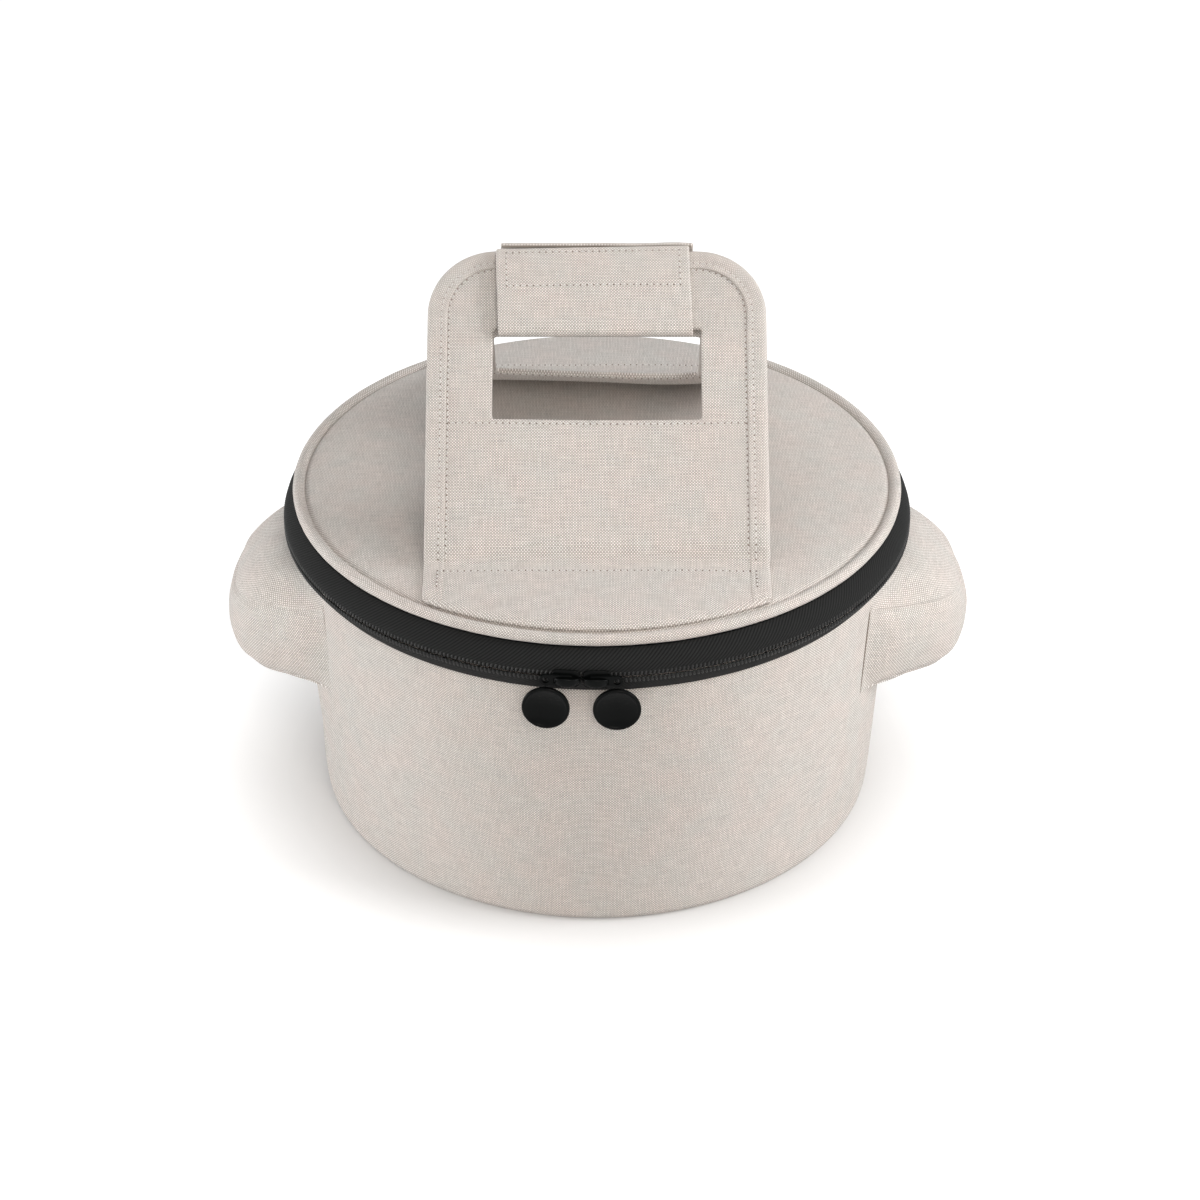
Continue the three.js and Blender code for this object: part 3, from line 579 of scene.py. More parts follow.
def sew(name, bm, *materials):
    """Makes an object of a mesh."""
    mesh = bpy.data.meshes.new(name)
    bm.to_mesh(mesh)
    bm.free()
    mesh.shade_smooth()
    made = bpy.data.objects.new(name, mesh)
    bpy.context.scene.collection.objects.link(made)
    for material in materials:
        mesh.materials.append(material)
    return made


def thicken(piece, thickness, offset=-1):
    """Gives cloth its thickness: inwards from its face, or to both sides with an offset of 0."""
    shell = piece.modifiers.new("thickness", "SOLIDIFY")
    shell.thickness = thickness
    shell.offset = offset
    shell.use_even_offset = False
    return piece


def refine(piece, levels=1):
    surface = piece.modifiers.new("smooth", "SUBSURF")
    surface.levels = surface.render_levels = levels
    surface.boundary_smooth = "PRESERVE_CORNERS"
    surface.use_limit_surface = False
    return piece


def dress(piece, thickness, *nodes):
    """Gives a cloth its thickness and a smooth face, in place of packed solids."""
    refine(thicken(piece, thickness))
    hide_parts(*nodes)
    return piece


def soften(piece, width, segments=3, sharpest=32):
    """Rounds the edges that turn by more than an angle in degrees."""
    edge = piece.modifiers.new("soft edges", "BEVEL")
    edge.width = width
    edge.segments = segments
    edge.limit_method = "ANGLE"
    edge.angle_limit = math.radians(sharpest)
    return piece


def calmed(moves, edges, fixed, rounds):
    """Moves of the points of a mesh, each evened out with its neighbours' a few rounds long."""
    for _ in range(rounds):
        sums = [move.copy() for move in moves]
        counts = [1] * len(moves)
        for a, b in edges:
            sums[a] += moves[b]
            sums[b] += moves[a]
            counts[a] += 1
            counts[b] += 1
        rows = zip(fixed, sums, counts)
        moves = [Vector() if still else total / count for still, total, count in rows]
    return moves


def puff(piece, held, most, pressure=4, spare=0, calm=4):
    """Swells padded cloth by simulation. held says which points stay sewn down and most how far the
    rest move. spare is how much bigger than its place the cloth was cut, and calm how many rounds
    even out its creases."""
    scene = bpy.context.scene
    frames = scene.carrier_cloth.frames
    rest = [vert.co.copy() for vert in piece.data.vertices]
    group = piece.vertex_groups.new(name="held")
    group.add([i for i, co in enumerate(rest) if held(co)], 1, "REPLACE")
    cloth = piece.modifiers.new("puff", "CLOTH")
    cloth.settings.quality = 6
    cloth.settings.use_pressure = True
    cloth.settings.uniform_pressure_force = pressure
    cloth.settings.shrink_min = -spare
    cloth.settings.vertex_group_mass = group.name
    cloth.settings.effector_weights.gravity = 0
    cloth.point_cache.frame_start = 1
    cloth.point_cache.frame_end = frames
    for frame_number in range(1, frames + 1):
        scene.frame_set(frame_number)
    swollen = piece.evaluated_get(bpy.context.evaluated_depsgraph_get())
    moves = [vert.co - co for vert, co in zip(swollen.data.vertices, rest)]
    piece.modifiers.remove(cloth)
    piece.vertex_groups.remove(group)
    edges = [edge.vertices for edge in piece.data.edges]
    moves = calmed(moves, edges, [held(co) for co in rest], calm)
    for vert, co, move in zip(piece.data.vertices, rest, moves):
        far = move.length
        vert.co = co + move * (most * math.tanh(far / most) / far if far > 1e-9 else 0)
    scene.frame_set(1)


def surface_of(piece):
    """The finished surface of a piece, to lay others on."""
    return BVHTree.FromObject(piece, bpy.context.evaluated_depsgraph_get())


class Run:
    """A line in the plane of y and z, by the distance from its start, with its corners eased."""

    def __init__(self, points, ease):
        self.points = [Vector(point) for point in points]
        self.ease = ease
        self.places = [0]
        for a, b in zip(self.points, self.points[1:]):
            self.places.append(self.places[-1] + (b - a).length)

    def raw(self, distance):
        last = len(self.points) - 2
        i = min(max(sum(place <= distance for place in self.places) - 1, 0), last)
        share = (distance - self.places[i]) / (self.places[i + 1] - self.places[i])
        return self.points[i] + (self.points[i + 1] - self.points[i]) * share

    def at(self, distance):
        samples = [self.raw(distance + self.ease * share / 3) for share in range(-3, 4)]
        return sum(samples, Vector((0, 0))) / len(samples)

    def along(self, distance):
        return (self.at(distance + 0.2 * MM) - self.at(distance - 0.2 * MM)).normalized()

    def place(self, x, distance, out=0):
        """The point beside the line, out to the left of its run."""
        point, way = self.at(distance), self.along(distance)
        return Vector((x, point.x - way.y * out, point.y + way.x * out))


def small_mesh(name, make):
    """A mesh that is made once, to be repeated."""
    if name not in bpy.data.meshes:
        bm = bmesh.new()
        make(bm)
        mesh = bpy.data.meshes.new(name)
        bm.to_mesh(mesh)
        bm.free()
    return bpy.data.meshes[name]


def repeat(bm, small, matrices):
    """Adds a copy of a small mesh at each place."""
    for matrix in matrices:
        copy = small.copy()
        copy.transform(matrix)
        bm.from_mesh(copy)
        bpy.data.meshes.remove(copy)


def bead(bm):
    bmesh.ops.create_uvsphere(bm, u_segments=8, v_segments=5, radius=1)


# A dark pit at each needle hole, in the needle holes' colour: painted shade.
def pit(bm):
    bmesh.ops.create_icosphere(bm, subdivisions=1, radius=1)
    for face in bm.faces:
        face.material_index = 1


def stitches(bm, points, normals):
    """Thread between needle holes along a row of points, set on the cloth. Each hole is a dark pit
    sunk into the cloth: painted shade.
    """
    radius, sink = bpy.context.scene.carrier_cloth.thread, 0.1 * MM
    holes, threads = [], []
    for point, normal in zip(points, normals):
        holes.append(Matrix.Translation(point - normal * sink) @ Matrix.Scale(radius * 1.9, 4))
    for a, b, normal in zip(points, points[1:], normals):
        way = b - a
        centre = (a + b) / 2 + normal * (radius * 0.4 - sink)
        side = normal.cross(way).normalized()
        turned = Matrix((way.normalized(), side, way.normalized().cross(side))).transposed()
        shape = Matrix.Diagonal((way.length / 2 - radius * 1.3, radius * 1.2, radius, 1))
        threads.append(Matrix.Translation(centre) @ turned.to_4x4() @ shape)
    repeat(bm, small_mesh("needle pit", pit), holes)
    repeat(bm, small_mesh("thread bead", bead), threads)


def spaced(points, pitch):
    """Points at an even pitch along a row of straight stretches."""
    run = [0]
    for a, b in zip(points, points[1:]):
        run.append(run[-1] + (b - a).length)
    count = max(round(run[-1] / pitch), 1)
    found = []
    for i in range(count + 1):
        far = run[-1] * i / count
        k = min(max(sum(place <= far for place in run) - 1, 0), len(points) - 2)
        found.append(points[k].lerp(points[k + 1], (far - run[k]) / (run[k + 1] - run[k])))
    return found


def sew_row(bm, flat, place, out):
    """A row of stitches along flat places of a cloth, at a height above its middle or below it."""
    spots = spaced(flat, bpy.context.scene.carrier_cloth.pitch)
    rise = math.copysign(1 * MM, out)
    points = [place(x, s, out) for x, s in spots]
    above = [place(x, s, out + rise) for x, s in spots]
    stitches(bm, points, [(b - a).normalized() for a, b in zip(points, above)])


# Drum: wall, base, lining and the binding of its rim.


def around(radius, turn, height):
    """The point at a radius and a height, at an angle from the front towards +X."""
    return Vector((radius * math.sin(turn), -radius * math.cos(turn), height))


def wall_radius(height):
    share = height / high("body_wall").z
    return between(high("base_panel").x, high("body_wall").y, share)


def turn_of(co):
    """The angle of a point from the front towards +X."""
    return math.atan2(co.x, -co.y)


def ear_offset(co):
    """How far a point lies from the middle of the nearer ear, as an angle."""
    return abs(abs(turn_of(co)) - math.pi / 2)


def ear_half_angle():
    return bpy.context.scene.carrier_ears.half_span / high("body_wall").y


def make_wall(cloth, ears):
    top, edge = high("body_wall").z, 3.5 * MM
    corner = edge * math.pi / 2
    radius = high("body_wall").y
    around_drum = lines(0, math.tau * radius, 240)
    up = lines(0, corner, 5) + lines(corner, top - edge + corner, 36)[1:]
    bm = cut_on_lines(around_drum, up)
    lay_weave(bm)
    floor = top - ears.depth

    def place(u, v, w):
        turn = u / radius - math.pi
        if v < corner:
            lift = v / edge
            reach = wall_radius(edge) - edge + edge * math.sin(lift)
            return around(reach, turn, edge * (1 - math.cos(lift)))
        height = v - corner + edge
        return around(wall_radius(height), turn, height)

    bend(bm, place)
    weld(bm)
    half = ear_half_angle()
    margin = 5 * MM
    wide = half - 2 * margin / radius
    cut_out(bm, lambda co: ear_offset(co) < wide and floor + margin < co.z < top - margin)
    face_out(bm)
    wall = sew("wall_canvas", bm, canvas())
    sewn = 1.02 * half

    def held(co):
        under_ear = ear_offset(co) < sewn and co.z > floor - margin / 2
        return co.z < edge or co.z > top - margin / 2 or under_ear

    puff(wall, held, cloth.wall_puff, 60, 0.008)
    calm = lambda co: smooth(co.z, 0, 30 * MM) * (1 - smooth(co.z, top - 20 * MM, top))
    crumple(wall, calm, (1.1 * MM, 70 * MM, 3), (0.35 * MM, 24 * MM, 5))
    return dress(wall, cloth.canvas, "body_wall", "body_padding")


def make_base(cloth):
    inset, rim = 2.5 * MM, 10 * MM
    bm = cut_disc(high("base_panel").x - inset, 48, rim)
    turn_over(bm)
    base = sew("base_canvas", bm, canvas())
    return dress(base, cloth.canvas, "base_panel", "base_padding")


def lining_radius(height):
    """Outer radius of the lining at a height."""
    top = high("body_lining").z
    slope = (high("body_wall").y - high("base_panel").x) / high("body_wall").z
    return high("body_lining").x - (top - height) * slope


def make_lining(cloth):
    bottom, top = low("base_lining").z, high("body_lining").z
    radius = high("body_lining").x
    bm = cut_cloth(math.tau * radius, top - bottom, 200, 34)
    bend(bm, lambda u, v, w: around(lining_radius(bottom + v), u / radius - math.pi, bottom + v))
    weld(bm)
    pocket_low, pocket_high = low("ear_left_lining").z, high("ear_left_lining").z
    half = high("ear_left_lining").y / high("body_wall").y

    def in_window(co, room):
        wide = ear_offset(co) < half - room / radius
        return wide and pocket_low + room < co.z < pocket_high - room

    room = 3 * MM
    cut_out(bm, lambda co: in_window(co, room))
    face_out(bm)
    turn_over(bm)
    lining = sew("wall_lining", bm, lining_cloth())
    held = lambda co: co.z < bottom + room or co.z > top - room or in_window(co, -room)
    puff(lining, held, 2 * MM)
    dress(lining, cloth.lining, "body_lining")
    bm = cut_disc(lining_radius(bottom) + cloth.lining / 2, 48, 10 * MM)
    bend(bm, lambda x, y, z: Vector((x, y, high("base_lining").z)))
    floor = sew("floor_lining", bm, lining_cloth())
    floor_edge = lining_radius(bottom) - room
    puff(floor, lambda co: math.hypot(co.x, co.y) > floor_edge, 1.5 * MM)
    return lining, dress(floor, cloth.lining, "base_lining")


def tube(way, girth, steps, sides, place):
    """A closed tube of cloth, the weave along it. place gets the way along and the share round."""
    bm = cut_cloth(way, girth, steps, sides)
    bend(bm, lambda u, v, w: place(u, v / girth))
    weld(bm)
    close_ends(bm)
    face_out(bm)
    return bm


def make_rim():
    """The binding folded over the inner wall's top edge."""
    top = high("rim_binding").z
    outer = high("rim_binding").x
    inner = outer - 8.2 * MM
    middle, half = (outer + inner) / 2, (outer - inner) / 2 + 0.2 * MM
    drop = 7 * MM

    def squared(value):
        """A sine or cosine drawn out, so that a round becomes a rounded square."""
        return math.copysign(abs(value) ** 0.5, value)

    def place(u, share):
        way = math.tau * share
        height = top - drop / 2 + drop / 2 * squared(math.sin(way))
        return around(middle - half * squared(math.cos(way)), u / outer - math.pi, height)

    bm = tube(math.tau * outer, 2 * (drop + 2 * half), 200, 14, place)
    rim = sew("rim_tape", bm, canvas())
    refine(rim)
    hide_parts("rim_binding")
    return rim


# Ears.

# The outline of an ear from above: how far from its middle to its end, and how much of its reach.
EAR_OUTLINE_SHARES = [
    (0, 1), (0.17, 0.975), (0.34, 0.9), (0.49, 0.72), (0.66, 0.39), (0.83, 0.13), (1, 0),
]


def ear_reach_share(share):
    """How much of its full reach an ear has at a share of its half span."""
    rows = EAR_OUTLINE_SHARES
    share = abs(share)
    i = min(sum(row[0] <= share for row in rows) - 1, len(rows) - 2)
    before, after = rows[max(i - 1, 0)], rows[min(i + 2, len(rows) - 1)]
    (a, p), (b, q) = rows[i], rows[i + 1]
    t = (share - a) / (b - a)
    start = (q - before[1]) / (b - before[0]) * (b - a) if i else 0
    end = (after[1] - p) / (after[0] - a) * (b - a) if i + 2 < len(rows) else 0
    cubic = (2 * t**3 - 3 * t**2 + 1) * p + (t**3 - 2 * t**2 + t) * start
    return max(cubic + (3 * t**2 - 2 * t**3) * q + (t**3 - t**2) * end, 0)


def ear_corners(ears, share):
    """The ear's section at a share of its half span: wall's top, top seam, lower seam and foot."""
    top, radius = high("body_wall").z, high("body_wall").y
    reach = ears.reach * ear_reach_share(share)
    drop = between(ears.nose_drop, ears.end_drop, abs(share) ** ears.seam_power)
    floor = top - ears.depth
    taper = (radius - wall_radius(floor)) * reach / ears.reach
    proud = ears.lip * (1 - abs(share) ** 6) + 0.3 * MM
    upper = wall_radius(top - drop) if abs(share) == 1 else radius
    return [
        (radius - 1 * MM, top),
        (upper + proud + reach, top - drop),
        (wall_radius(floor) + proud + reach + taper, floor),
        (wall_radius(floor) - 3 * MM, floor),
    ]


def make_ear(name, side, cloth, ears):
    half = ear_half_angle()
    parts = [46 * MM, 36 * MM, 36 * MM]
    rows = [16, 12, 10]
    columns = 72
    shares = [2 * i / columns - 1 for i in range(columns + 1)]
    outline = [around(ear_corners(ears, s)[1][0], s * half, 0) for s in shares]
    run = [0]
    for a, b in zip(outline, outline[1:]):
        run.append(run[-1] + (b - a).length)
    bm = cut_cloth(columns, sum(rows), columns, sum(rows))
    edges = [0, parts[0], parts[0] + parts[1], sum(parts)]

    def lay_flat(u, v, w):
        row = round(v)
        part = 0 if row < rows[0] else 1 if row < rows[0] + rows[1] else 2
        first = sum(rows[:part])
        along = edges[part] + parts[part] * (row - first) / rows[part]
        return Vector((run[round(u)], along, round(u)))

    bend(bm, lay_flat)
    lay_weave(bm)
    outer = [f for f in bm.faces if not parts[0] < f.calc_center_median().y < edges[2]]

    def place(u, v, column):
        share = shares[round(column)]
        corners = ear_corners(ears, share)
        part = 0 if v < parts[0] else 1 if v < edges[2] else 2
        way = (v - edges[part]) / parts[part]
        (r0, z0), (r1, z1) = corners[part], corners[part + 1]
        return around(between(r0, r1, way), side * math.pi / 2 + share * half, between(z0, z1, way))

    bend(bm, place)
    chart = bm.loops.layers.uv[WEAVE]
    top, foot = high("body_wall").z, low(f"ear_{name}_wall").z
    for face in outer:
        seam = top if face.calc_center_median().z > top - ears.depth / 2 else foot
        for loop in face.loops:
            co = loop.vert.co
            out = math.hypot(co.x, co.y) - high("body_wall").y
            loop[chart].uv = co.y, math.hypot(out, co.z - seam)
    face_out(bm)
    face_towards(bm, Vector((side, 0, 0)))
    shell = sew(f"ear_{name}_canvas", bm, canvas())
    count = columns + 1
    seams = {0, rows[0], rows[0] + rows[1], sum(rows)}
    mesh = shell.data
    sewn = set()
    for i, vert in enumerate(mesh.vertices):
        row, column = divmod(i, count)
        if row in seams or column in (0, 1, columns - 1, columns):
            sewn.add(tuple(round(c, 6) for c in vert.co))
    crease = mesh.attributes.new("crease_edge", "FLOAT", "EDGE")
    for edge in mesh.edges:
        ends = [divmod(i, count)[0] for i in edge.vertices]
        if ends[0] == ends[1] and ends[0] in seams:
            crease.data[edge.index].value = 1
    puff(shell, lambda co: tuple(round(c, 6) for c in co) in sewn, cloth.ear_puff, 60, 0.05, 12)
    bm = bmesh.new()
    bm.from_mesh(mesh)
    bm.normal_update()
    for i, vert in enumerate(bm.verts):
        row, column = divmod(i, count)
        if row in (rows[0], rows[0] + rows[1]):
            vert.co -= vert.normal * ears.seam * (1 - abs(shares[column]) ** 8)
    bm.to_mesh(mesh)
    bm.free()
    calm = lambda co: smooth(math.hypot(co.x, co.y) - wall_radius(co.z), 0, 12 * MM)
    crumple(shell, calm, (1.2 * MM, 34 * MM, 11 * side), (0.4 * MM, 13 * MM, 17 * side))
    replaced = [f"ear_{name}_{part}" for part in ("top", "wall", "base", "padding")]
    return dress(shell, cloth.canvas, *replaced)


def make_pocket(name):
    """The lining of an ear's hollow: the packed solid's inner faces, softened."""
    bm = copy_of(f"ear_{name}_lining")
    bmesh.ops.triangulate(bm, faces=bm.faces)
    lay_weave(bm, axes=(1, 2))
    lay_weave(bm, [face for face in bm.faces if abs(face.normal.z) > 0.5], (1, 0))
    pocket = sew(f"ear_{name}_pocket", bm, lining_cloth())
    pocket.data.shade_flat()
    soften(pocket, 0.3 * MM, 2, 30)
    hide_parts(f"ear_{name}_lining")
    return pocket


# Zip band and hinge.


def band_radius(height):
    zip_sizes = bpy.context.scene.carrier_zip
    base, top, radius = high("body_wall").z, high("zip_tape_upper").z, high("body_wall").y
    widest = base + zip_sizes.bulge_rise
    if height < widest:
        return radius + zip_sizes.bulge * math.sin(math.pi / 2 * (height - base) / (widest - base))
    share = (height - widest) / (top - widest)
    rest = zip_sizes.bulge - zip_sizes.tuck
    return radius + zip_sizes.tuck + rest * math.cos(math.pi / 2 * share)


def zip_height():
    return JOINTS["lid_hinge"]["pos_m"][2]


def make_tape(name, bottom, top, spread, replaced):
    radius = band_radius(zip_height())
    bm = cut_cloth(2 * spread * radius, top - bottom, 220, 8)

    def place(u, v, w):
        height = bottom + v
        return around(band_radius(height), u / radius - spread, height)

    bend(bm, place)
    face_out(bm)
    return dress(sew(name, bm, zip_tape()), 1 * MM, replaced)


def make_coil(name, side, spread, zip_sizes, replaced):
    """Turns of the coil, side by side along the zip, above it or below it."""
    radius, proud, half_deep = band_radius(zip_height()), 0.1 * MM, 0.8 * MM
    height = zip_height() + side * zip_sizes.tooth * 0.56
    count = round(2 * spread * radius / zip_sizes.pitch)
    shape = Matrix.Diagonal((0.36 * zip_sizes.pitch, half_deep, zip_sizes.tooth / 2, 1))
    leaning = Matrix.Rotation(side * math.radians(14), 4, "Y") @ shape
    turns = []
    for i in range(count):
        turn = -spread + 2 * spread * (i + 0.5 + 0.25 * side) / count
        centre = around(radius + proud, turn, height)
        turns.append(Matrix.Translation(centre) @ Matrix.Rotation(turn, 4, "Z") @ leaning)
    bm = bmesh.new()
    repeat(bm, small_mesh("thread bead", bead), turns)
    coil = sew(name, bm, zip_coil())
    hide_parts(replaced)
    return coil


def make_hinge(cloth):
    """The strip of canvas at the back that joins lid and drum, with no zip or piping."""
    base, top = high("body_wall").z, high("lid_top").z
    spread = math.asin(high("hinge_strip_lower").x / high("body_wall").y)
    radius = high("body_wall").y
    bulge, tuck = 6.6 * MM, 3 * MM
    rise = top - 4 * MM - base + 2 * MM
    bm = cut_cloth(2 * spread * radius, rise, 40, 14)

    def place(u, v, w):
        height = base - 1 * MM + v
        share = min(max(v / rise, 0), 1)
        bow = bulge * math.sin(math.pi * min(share * 0.8 + 0.1, 1)) ** 0.8
        return around(radius + bow - tuck * share**2, math.pi - spread + u / radius, height)

    bend(bm, place)
    face_out(bm)
    hinge = sew("hinge_canvas", bm, canvas())
    return dress(hinge, cloth.canvas, "hinge_strip_lower", "hinge_strip_upper")


# Lid.


def make_lid(cloth):
    overhang, tuck, rim = 1.6 * MM, 1.2 * MM, 12 * MM
    radius, top = high("lid_top").x + overhang, high("lid_top").z
    edge = top - low("lid_top").z + tuck
    corner = edge * math.pi / 2
    flat = radius - edge
    bm = cut_disc(flat + corner, 104, rim, 0.84)

    def place(x, y, z):
        far = math.hypot(x, y)
        if far <= flat:
            return Vector((x, y, top))
        lift = (far - flat) / edge
        reach = (flat + edge * math.sin(lift)) / far
        return Vector((x * reach, y * reach, top - edge * (1 - math.cos(lift))))

    bend(bm, place)
    face_out(bm)
    shell = sew("lid_canvas", bm, canvas())
    held = lambda co: math.hypot(co.x, co.y) > radius - edge / 2
    puff(shell, held, cloth.lid_puff)
    calm = lambda co: 1 - smooth(math.hypot(co.x, co.y), radius - 25 * MM, radius)
    crumple(shell, calm, (0.9 * MM, 60 * MM, 21), (0.25 * MM, 20 * MM, 23))
    return dress(shell, cloth.canvas, "lid_top", "lid_padding")


def make_lid_lining(cloth):
    radius, bottom = high("lid_lining").x, low("lid_lining").z
    rise = high("lid_lining").z - bottom
    edge = 2.4 * MM
    flat = radius - edge
    bm = cut_disc(flat + edge * math.pi / 2 + rise - edge, 64, 12 * MM, 0.8)

    def place(x, y, z):
        far = math.hypot(x, y)
        if far <= flat:
            return Vector((x, y, bottom))
        lift = (far - flat) / edge
        if lift < math.pi / 2:
            reach = flat + edge * math.sin(lift)
            height = bottom + edge * (1 - math.cos(lift))
        else:
            reach, height = radius, bottom + edge + (lift - math.pi / 2) * edge
        return Vector((x * reach / far, y * reach / far, height))

    bend(bm, place)
    face_towards(bm, Vector((0, 0, -1)))
    lining = sew("lid_underside", bm, lining_cloth())
    held = lambda co: math.hypot(co.x, co.y) > radius - 2 * edge
    puff(lining, held, 2 * MM)
    return dress(lining, cloth.lining, "lid_lining")


def make_piping(spread):
    """A cord covered with bias canvas, round the lid's seam."""
    centre = (high("lid_piping").z + low("lid_piping").z) / 2
    thick = (high("lid_piping").z - low("lid_piping").z) / 2
    ring = high("lid_piping").x - thick

    def place(u, share):
        turn = u / ring - spread
        way = math.tau * share - math.pi / 2
        pucker = 1 + 0.05 * noise.noise(Vector((u / (9 * MM), math.cos(way), math.sin(way))))
        flange = 1 + 0.25 * max(-math.cos(way), 0) ** 3
        out = ring + thick * pucker * flange * math.cos(way)
        return around(out, turn, centre + thick * pucker * math.sin(way))

    bm = tube(2 * spread * ring, math.tau * thick, 300, 14, place)
    piping = sew("piping_canvas", bm, canvas())
    refine(piping)
    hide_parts("lid_piping")
    return piping


# Handles.


class Handle:
    """One handle. Its flat places are x across it and s from its fold up to its top edge; s is
    negative where it is sewn down on the lid. Out is the side away from the other handle."""

    def __init__(self, name, line, ease, seed):
        self.name = name
        self.sizes = bpy.context.scene.carrier_handles
        self.run = Run(line, ease)
        self.base = Vector(line[0])
        self.side = 1 if name == "front" else -1
        self.seed = seed
        self.half = high(f"{name}_anchor").x
        self.rim = high("lid_top").x - 0.5 * MM
        self.lid = surface_of(bpy.data.objects["lid_canvas"])

    def anchor_depth(self, x):
        """How far the cloth runs on past its fold before it reaches the lid's seam."""
        return math.sqrt(self.rim**2 - min(abs(x), self.half) ** 2) - abs(self.base.x)

    def on_lid(self, x, s, out):
        """The place on the lid, with out counted upwards from it."""
        y = self.base.x + s * self.side
        hit = self.lid.ray_cast(Vector((x, y, 1)), Vector((0, 0, -1)))
        height = hit[0].z if hit[0] else low("lid_top").z
        return Vector((x, y, height + self.sizes.panel / 2 + 0.3 * MM + out))

    def billow(self, x, s):
        """Soft waves of the cloth, calm at the fold and in the strap."""
        spot = Vector((x / (70 * MM), s / (60 * MM), self.seed))
        free = self.sizes.reach - self.sizes.strap
        calm = smooth(s, 0, 40 * MM) * (1 - smooth(s, free - 40 * MM, free))
        return noise.noise(spot) * 3 * MM * calm

    def place(self, x, s, out=0):
        reach = self.sizes.reach
        ease = 16 * MM
        over = max(s - reach, 0)
        bent = self.run.place(x, min(s, reach), (out + self.billow(x, s)) * self.side)
        if over:
            way = self.run.along(reach)
            bent += Vector((0, way.x, way.y)) * over
        share = smooth(s, 0, ease)
        if share >= 1:
            return bent
        return self.on_lid(x, s, out).lerp(bent, share)

    def edge_length(self):
        corner = self.sizes.corner
        side = self.anchor_depth(self.half) + self.sizes.reach - corner
        return 2 * (side + corner * math.pi / 2 + self.half - corner)

    def edge(self, u, inset):
        """The flat place at u along the edge, from the left foot round to the right one."""
        whole = self.edge_length()
        if u > whole / 2:
            x, s = self.edge(whole - u, inset)
            return -x, s
        corner, reach = self.sizes.corner, self.sizes.reach
        foot = self.anchor_depth(self.half)
        if u < foot:
            x = inset - self.half
            return x, (u / foot - 1) * self.anchor_depth(x)
        u -= foot
        if u < reach - corner:
            return inset - self.half, u
        u -= reach - corner
        if u < corner * math.pi / 2:
            turn = u / corner
            arm = corner - inset
            return corner - self.half - arm * math.cos(turn), reach - corner + arm * math.sin(turn)
        return corner - self.half + u - corner * math.pi / 2, reach - inset

    def flat_edge(self, inset, start, step=2 * MM):
        """Flat places along the edge, from start past the left foot to that far from the other."""
        end = self.edge_length() - start
        ways = lines(start, end, round((end - start) / step))
        return [Vector(self.edge(way, inset)) for way in ways]

    def row(self, bm, flat, out, sides=(1, -1)):
        """A row of stitches along flat places, on one face or both."""
        for side in sides:
            sew_row(bm, flat, self.place, out * side)


def front_line():
    sizes = bpy.context.scene.carrier_handles
    pivot = JOINTS["front_handle_swing"]["pos_m"]
    base = Vector((pivot[1], pivot[2]))
    way = Vector((math.cos(sizes.lean), math.sin(sizes.lean)))
    return [base, base + way * sizes.reach]


def rear_line():
    """An arc that hangs slack from the fold to the strap, then the strap beside the front one."""
    sizes = bpy.context.scene.carrier_handles
    pivot = JOINTS["rear_handle_swing"]["pos_m"]
    base = Vector((pivot[1], pivot[2]))
    top = front_line()[1] + Vector((math.sin(sizes.lean), -math.cos(sizes.lean))) * (
        sizes.thickness + 0.3 * MM
    )
    way = Vector((math.cos(sizes.rear_strap), math.sin(sizes.rear_strap)))
    foot = top - way * sizes.strap
    span = foot - base
    spare = (sizes.reach - sizes.strap) / span.length - 1
    turn = math.sqrt(24 * max(spare, 0.001) / (1 + spare))
    radius = span.length / 2 / math.sin(turn / 2)
    left = Vector((-span.y, span.x)).normalized()
    centre = base + span / 2 - left * radius * math.cos(turn / 2)
    start = base - centre
    steps = 12
    arc = []
    for i in range(steps + 1):
        swing = -turn * i / steps
        c, s = math.cos(swing), math.sin(swing)
        arc.append(centre + Vector((start.x * c - start.y * s, start.x * s + start.y * c)))
    return [*arc, top]


def make_panel(handle):
    """The cloth of a handle with its window, running on down to the lid's seam."""
    sizes = handle.sizes
    inset = 3 * MM
    reach = sizes.reach - inset
    corner = sizes.corner - inset
    straight, side = handle.half - sizes.corner, handle.half - inset
    window, window_top = sizes.window_width / 2, sizes.reach - sizes.strap
    columns = lines(-side, side, 58, -straight, straight, -window, window)
    rows = lines(0, reach, 60, sizes.window_foot, window_top, reach - corner)
    foot_rows = 16
    depth = handle.anchor_depth(0)
    up = [-depth * (1 - i / foot_rows) for i in range(foot_rows)] + rows
    bm = cut_on_lines(columns, up)

    def shape(x, s, z):
        if s < 0:
            return Vector((x, s * handle.anchor_depth(x) / depth, 0))
        a = (abs(x) - straight) / corner
        b = (s - reach + corner) / corner
        if a > 0 and b > 0:
            a, b = rounded(a, b)
            across = math.copysign(straight + a * corner, x)
            return Vector((across, reach - corner + b * corner, 0))
        return Vector((x, s, 0))

    bend(bm, shape)
    cut_out(bm, lambda co: abs(co.x) < window and sizes.window_foot < co.y < window_top)
    lay_weave(bm)
    bend(bm, lambda x, s, z: handle.place(x, s))
    face_towards(bm, Vector((0, 0, 1)), lambda co: co.z < handle.base.y)
    panel = sew(f"{handle.name}_handle_cloth", bm, canvas())
    refine(thicken(panel, sizes.panel, 0))
    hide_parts(f"{handle.name}_panel", f"{handle.name}_anchor")
    return panel


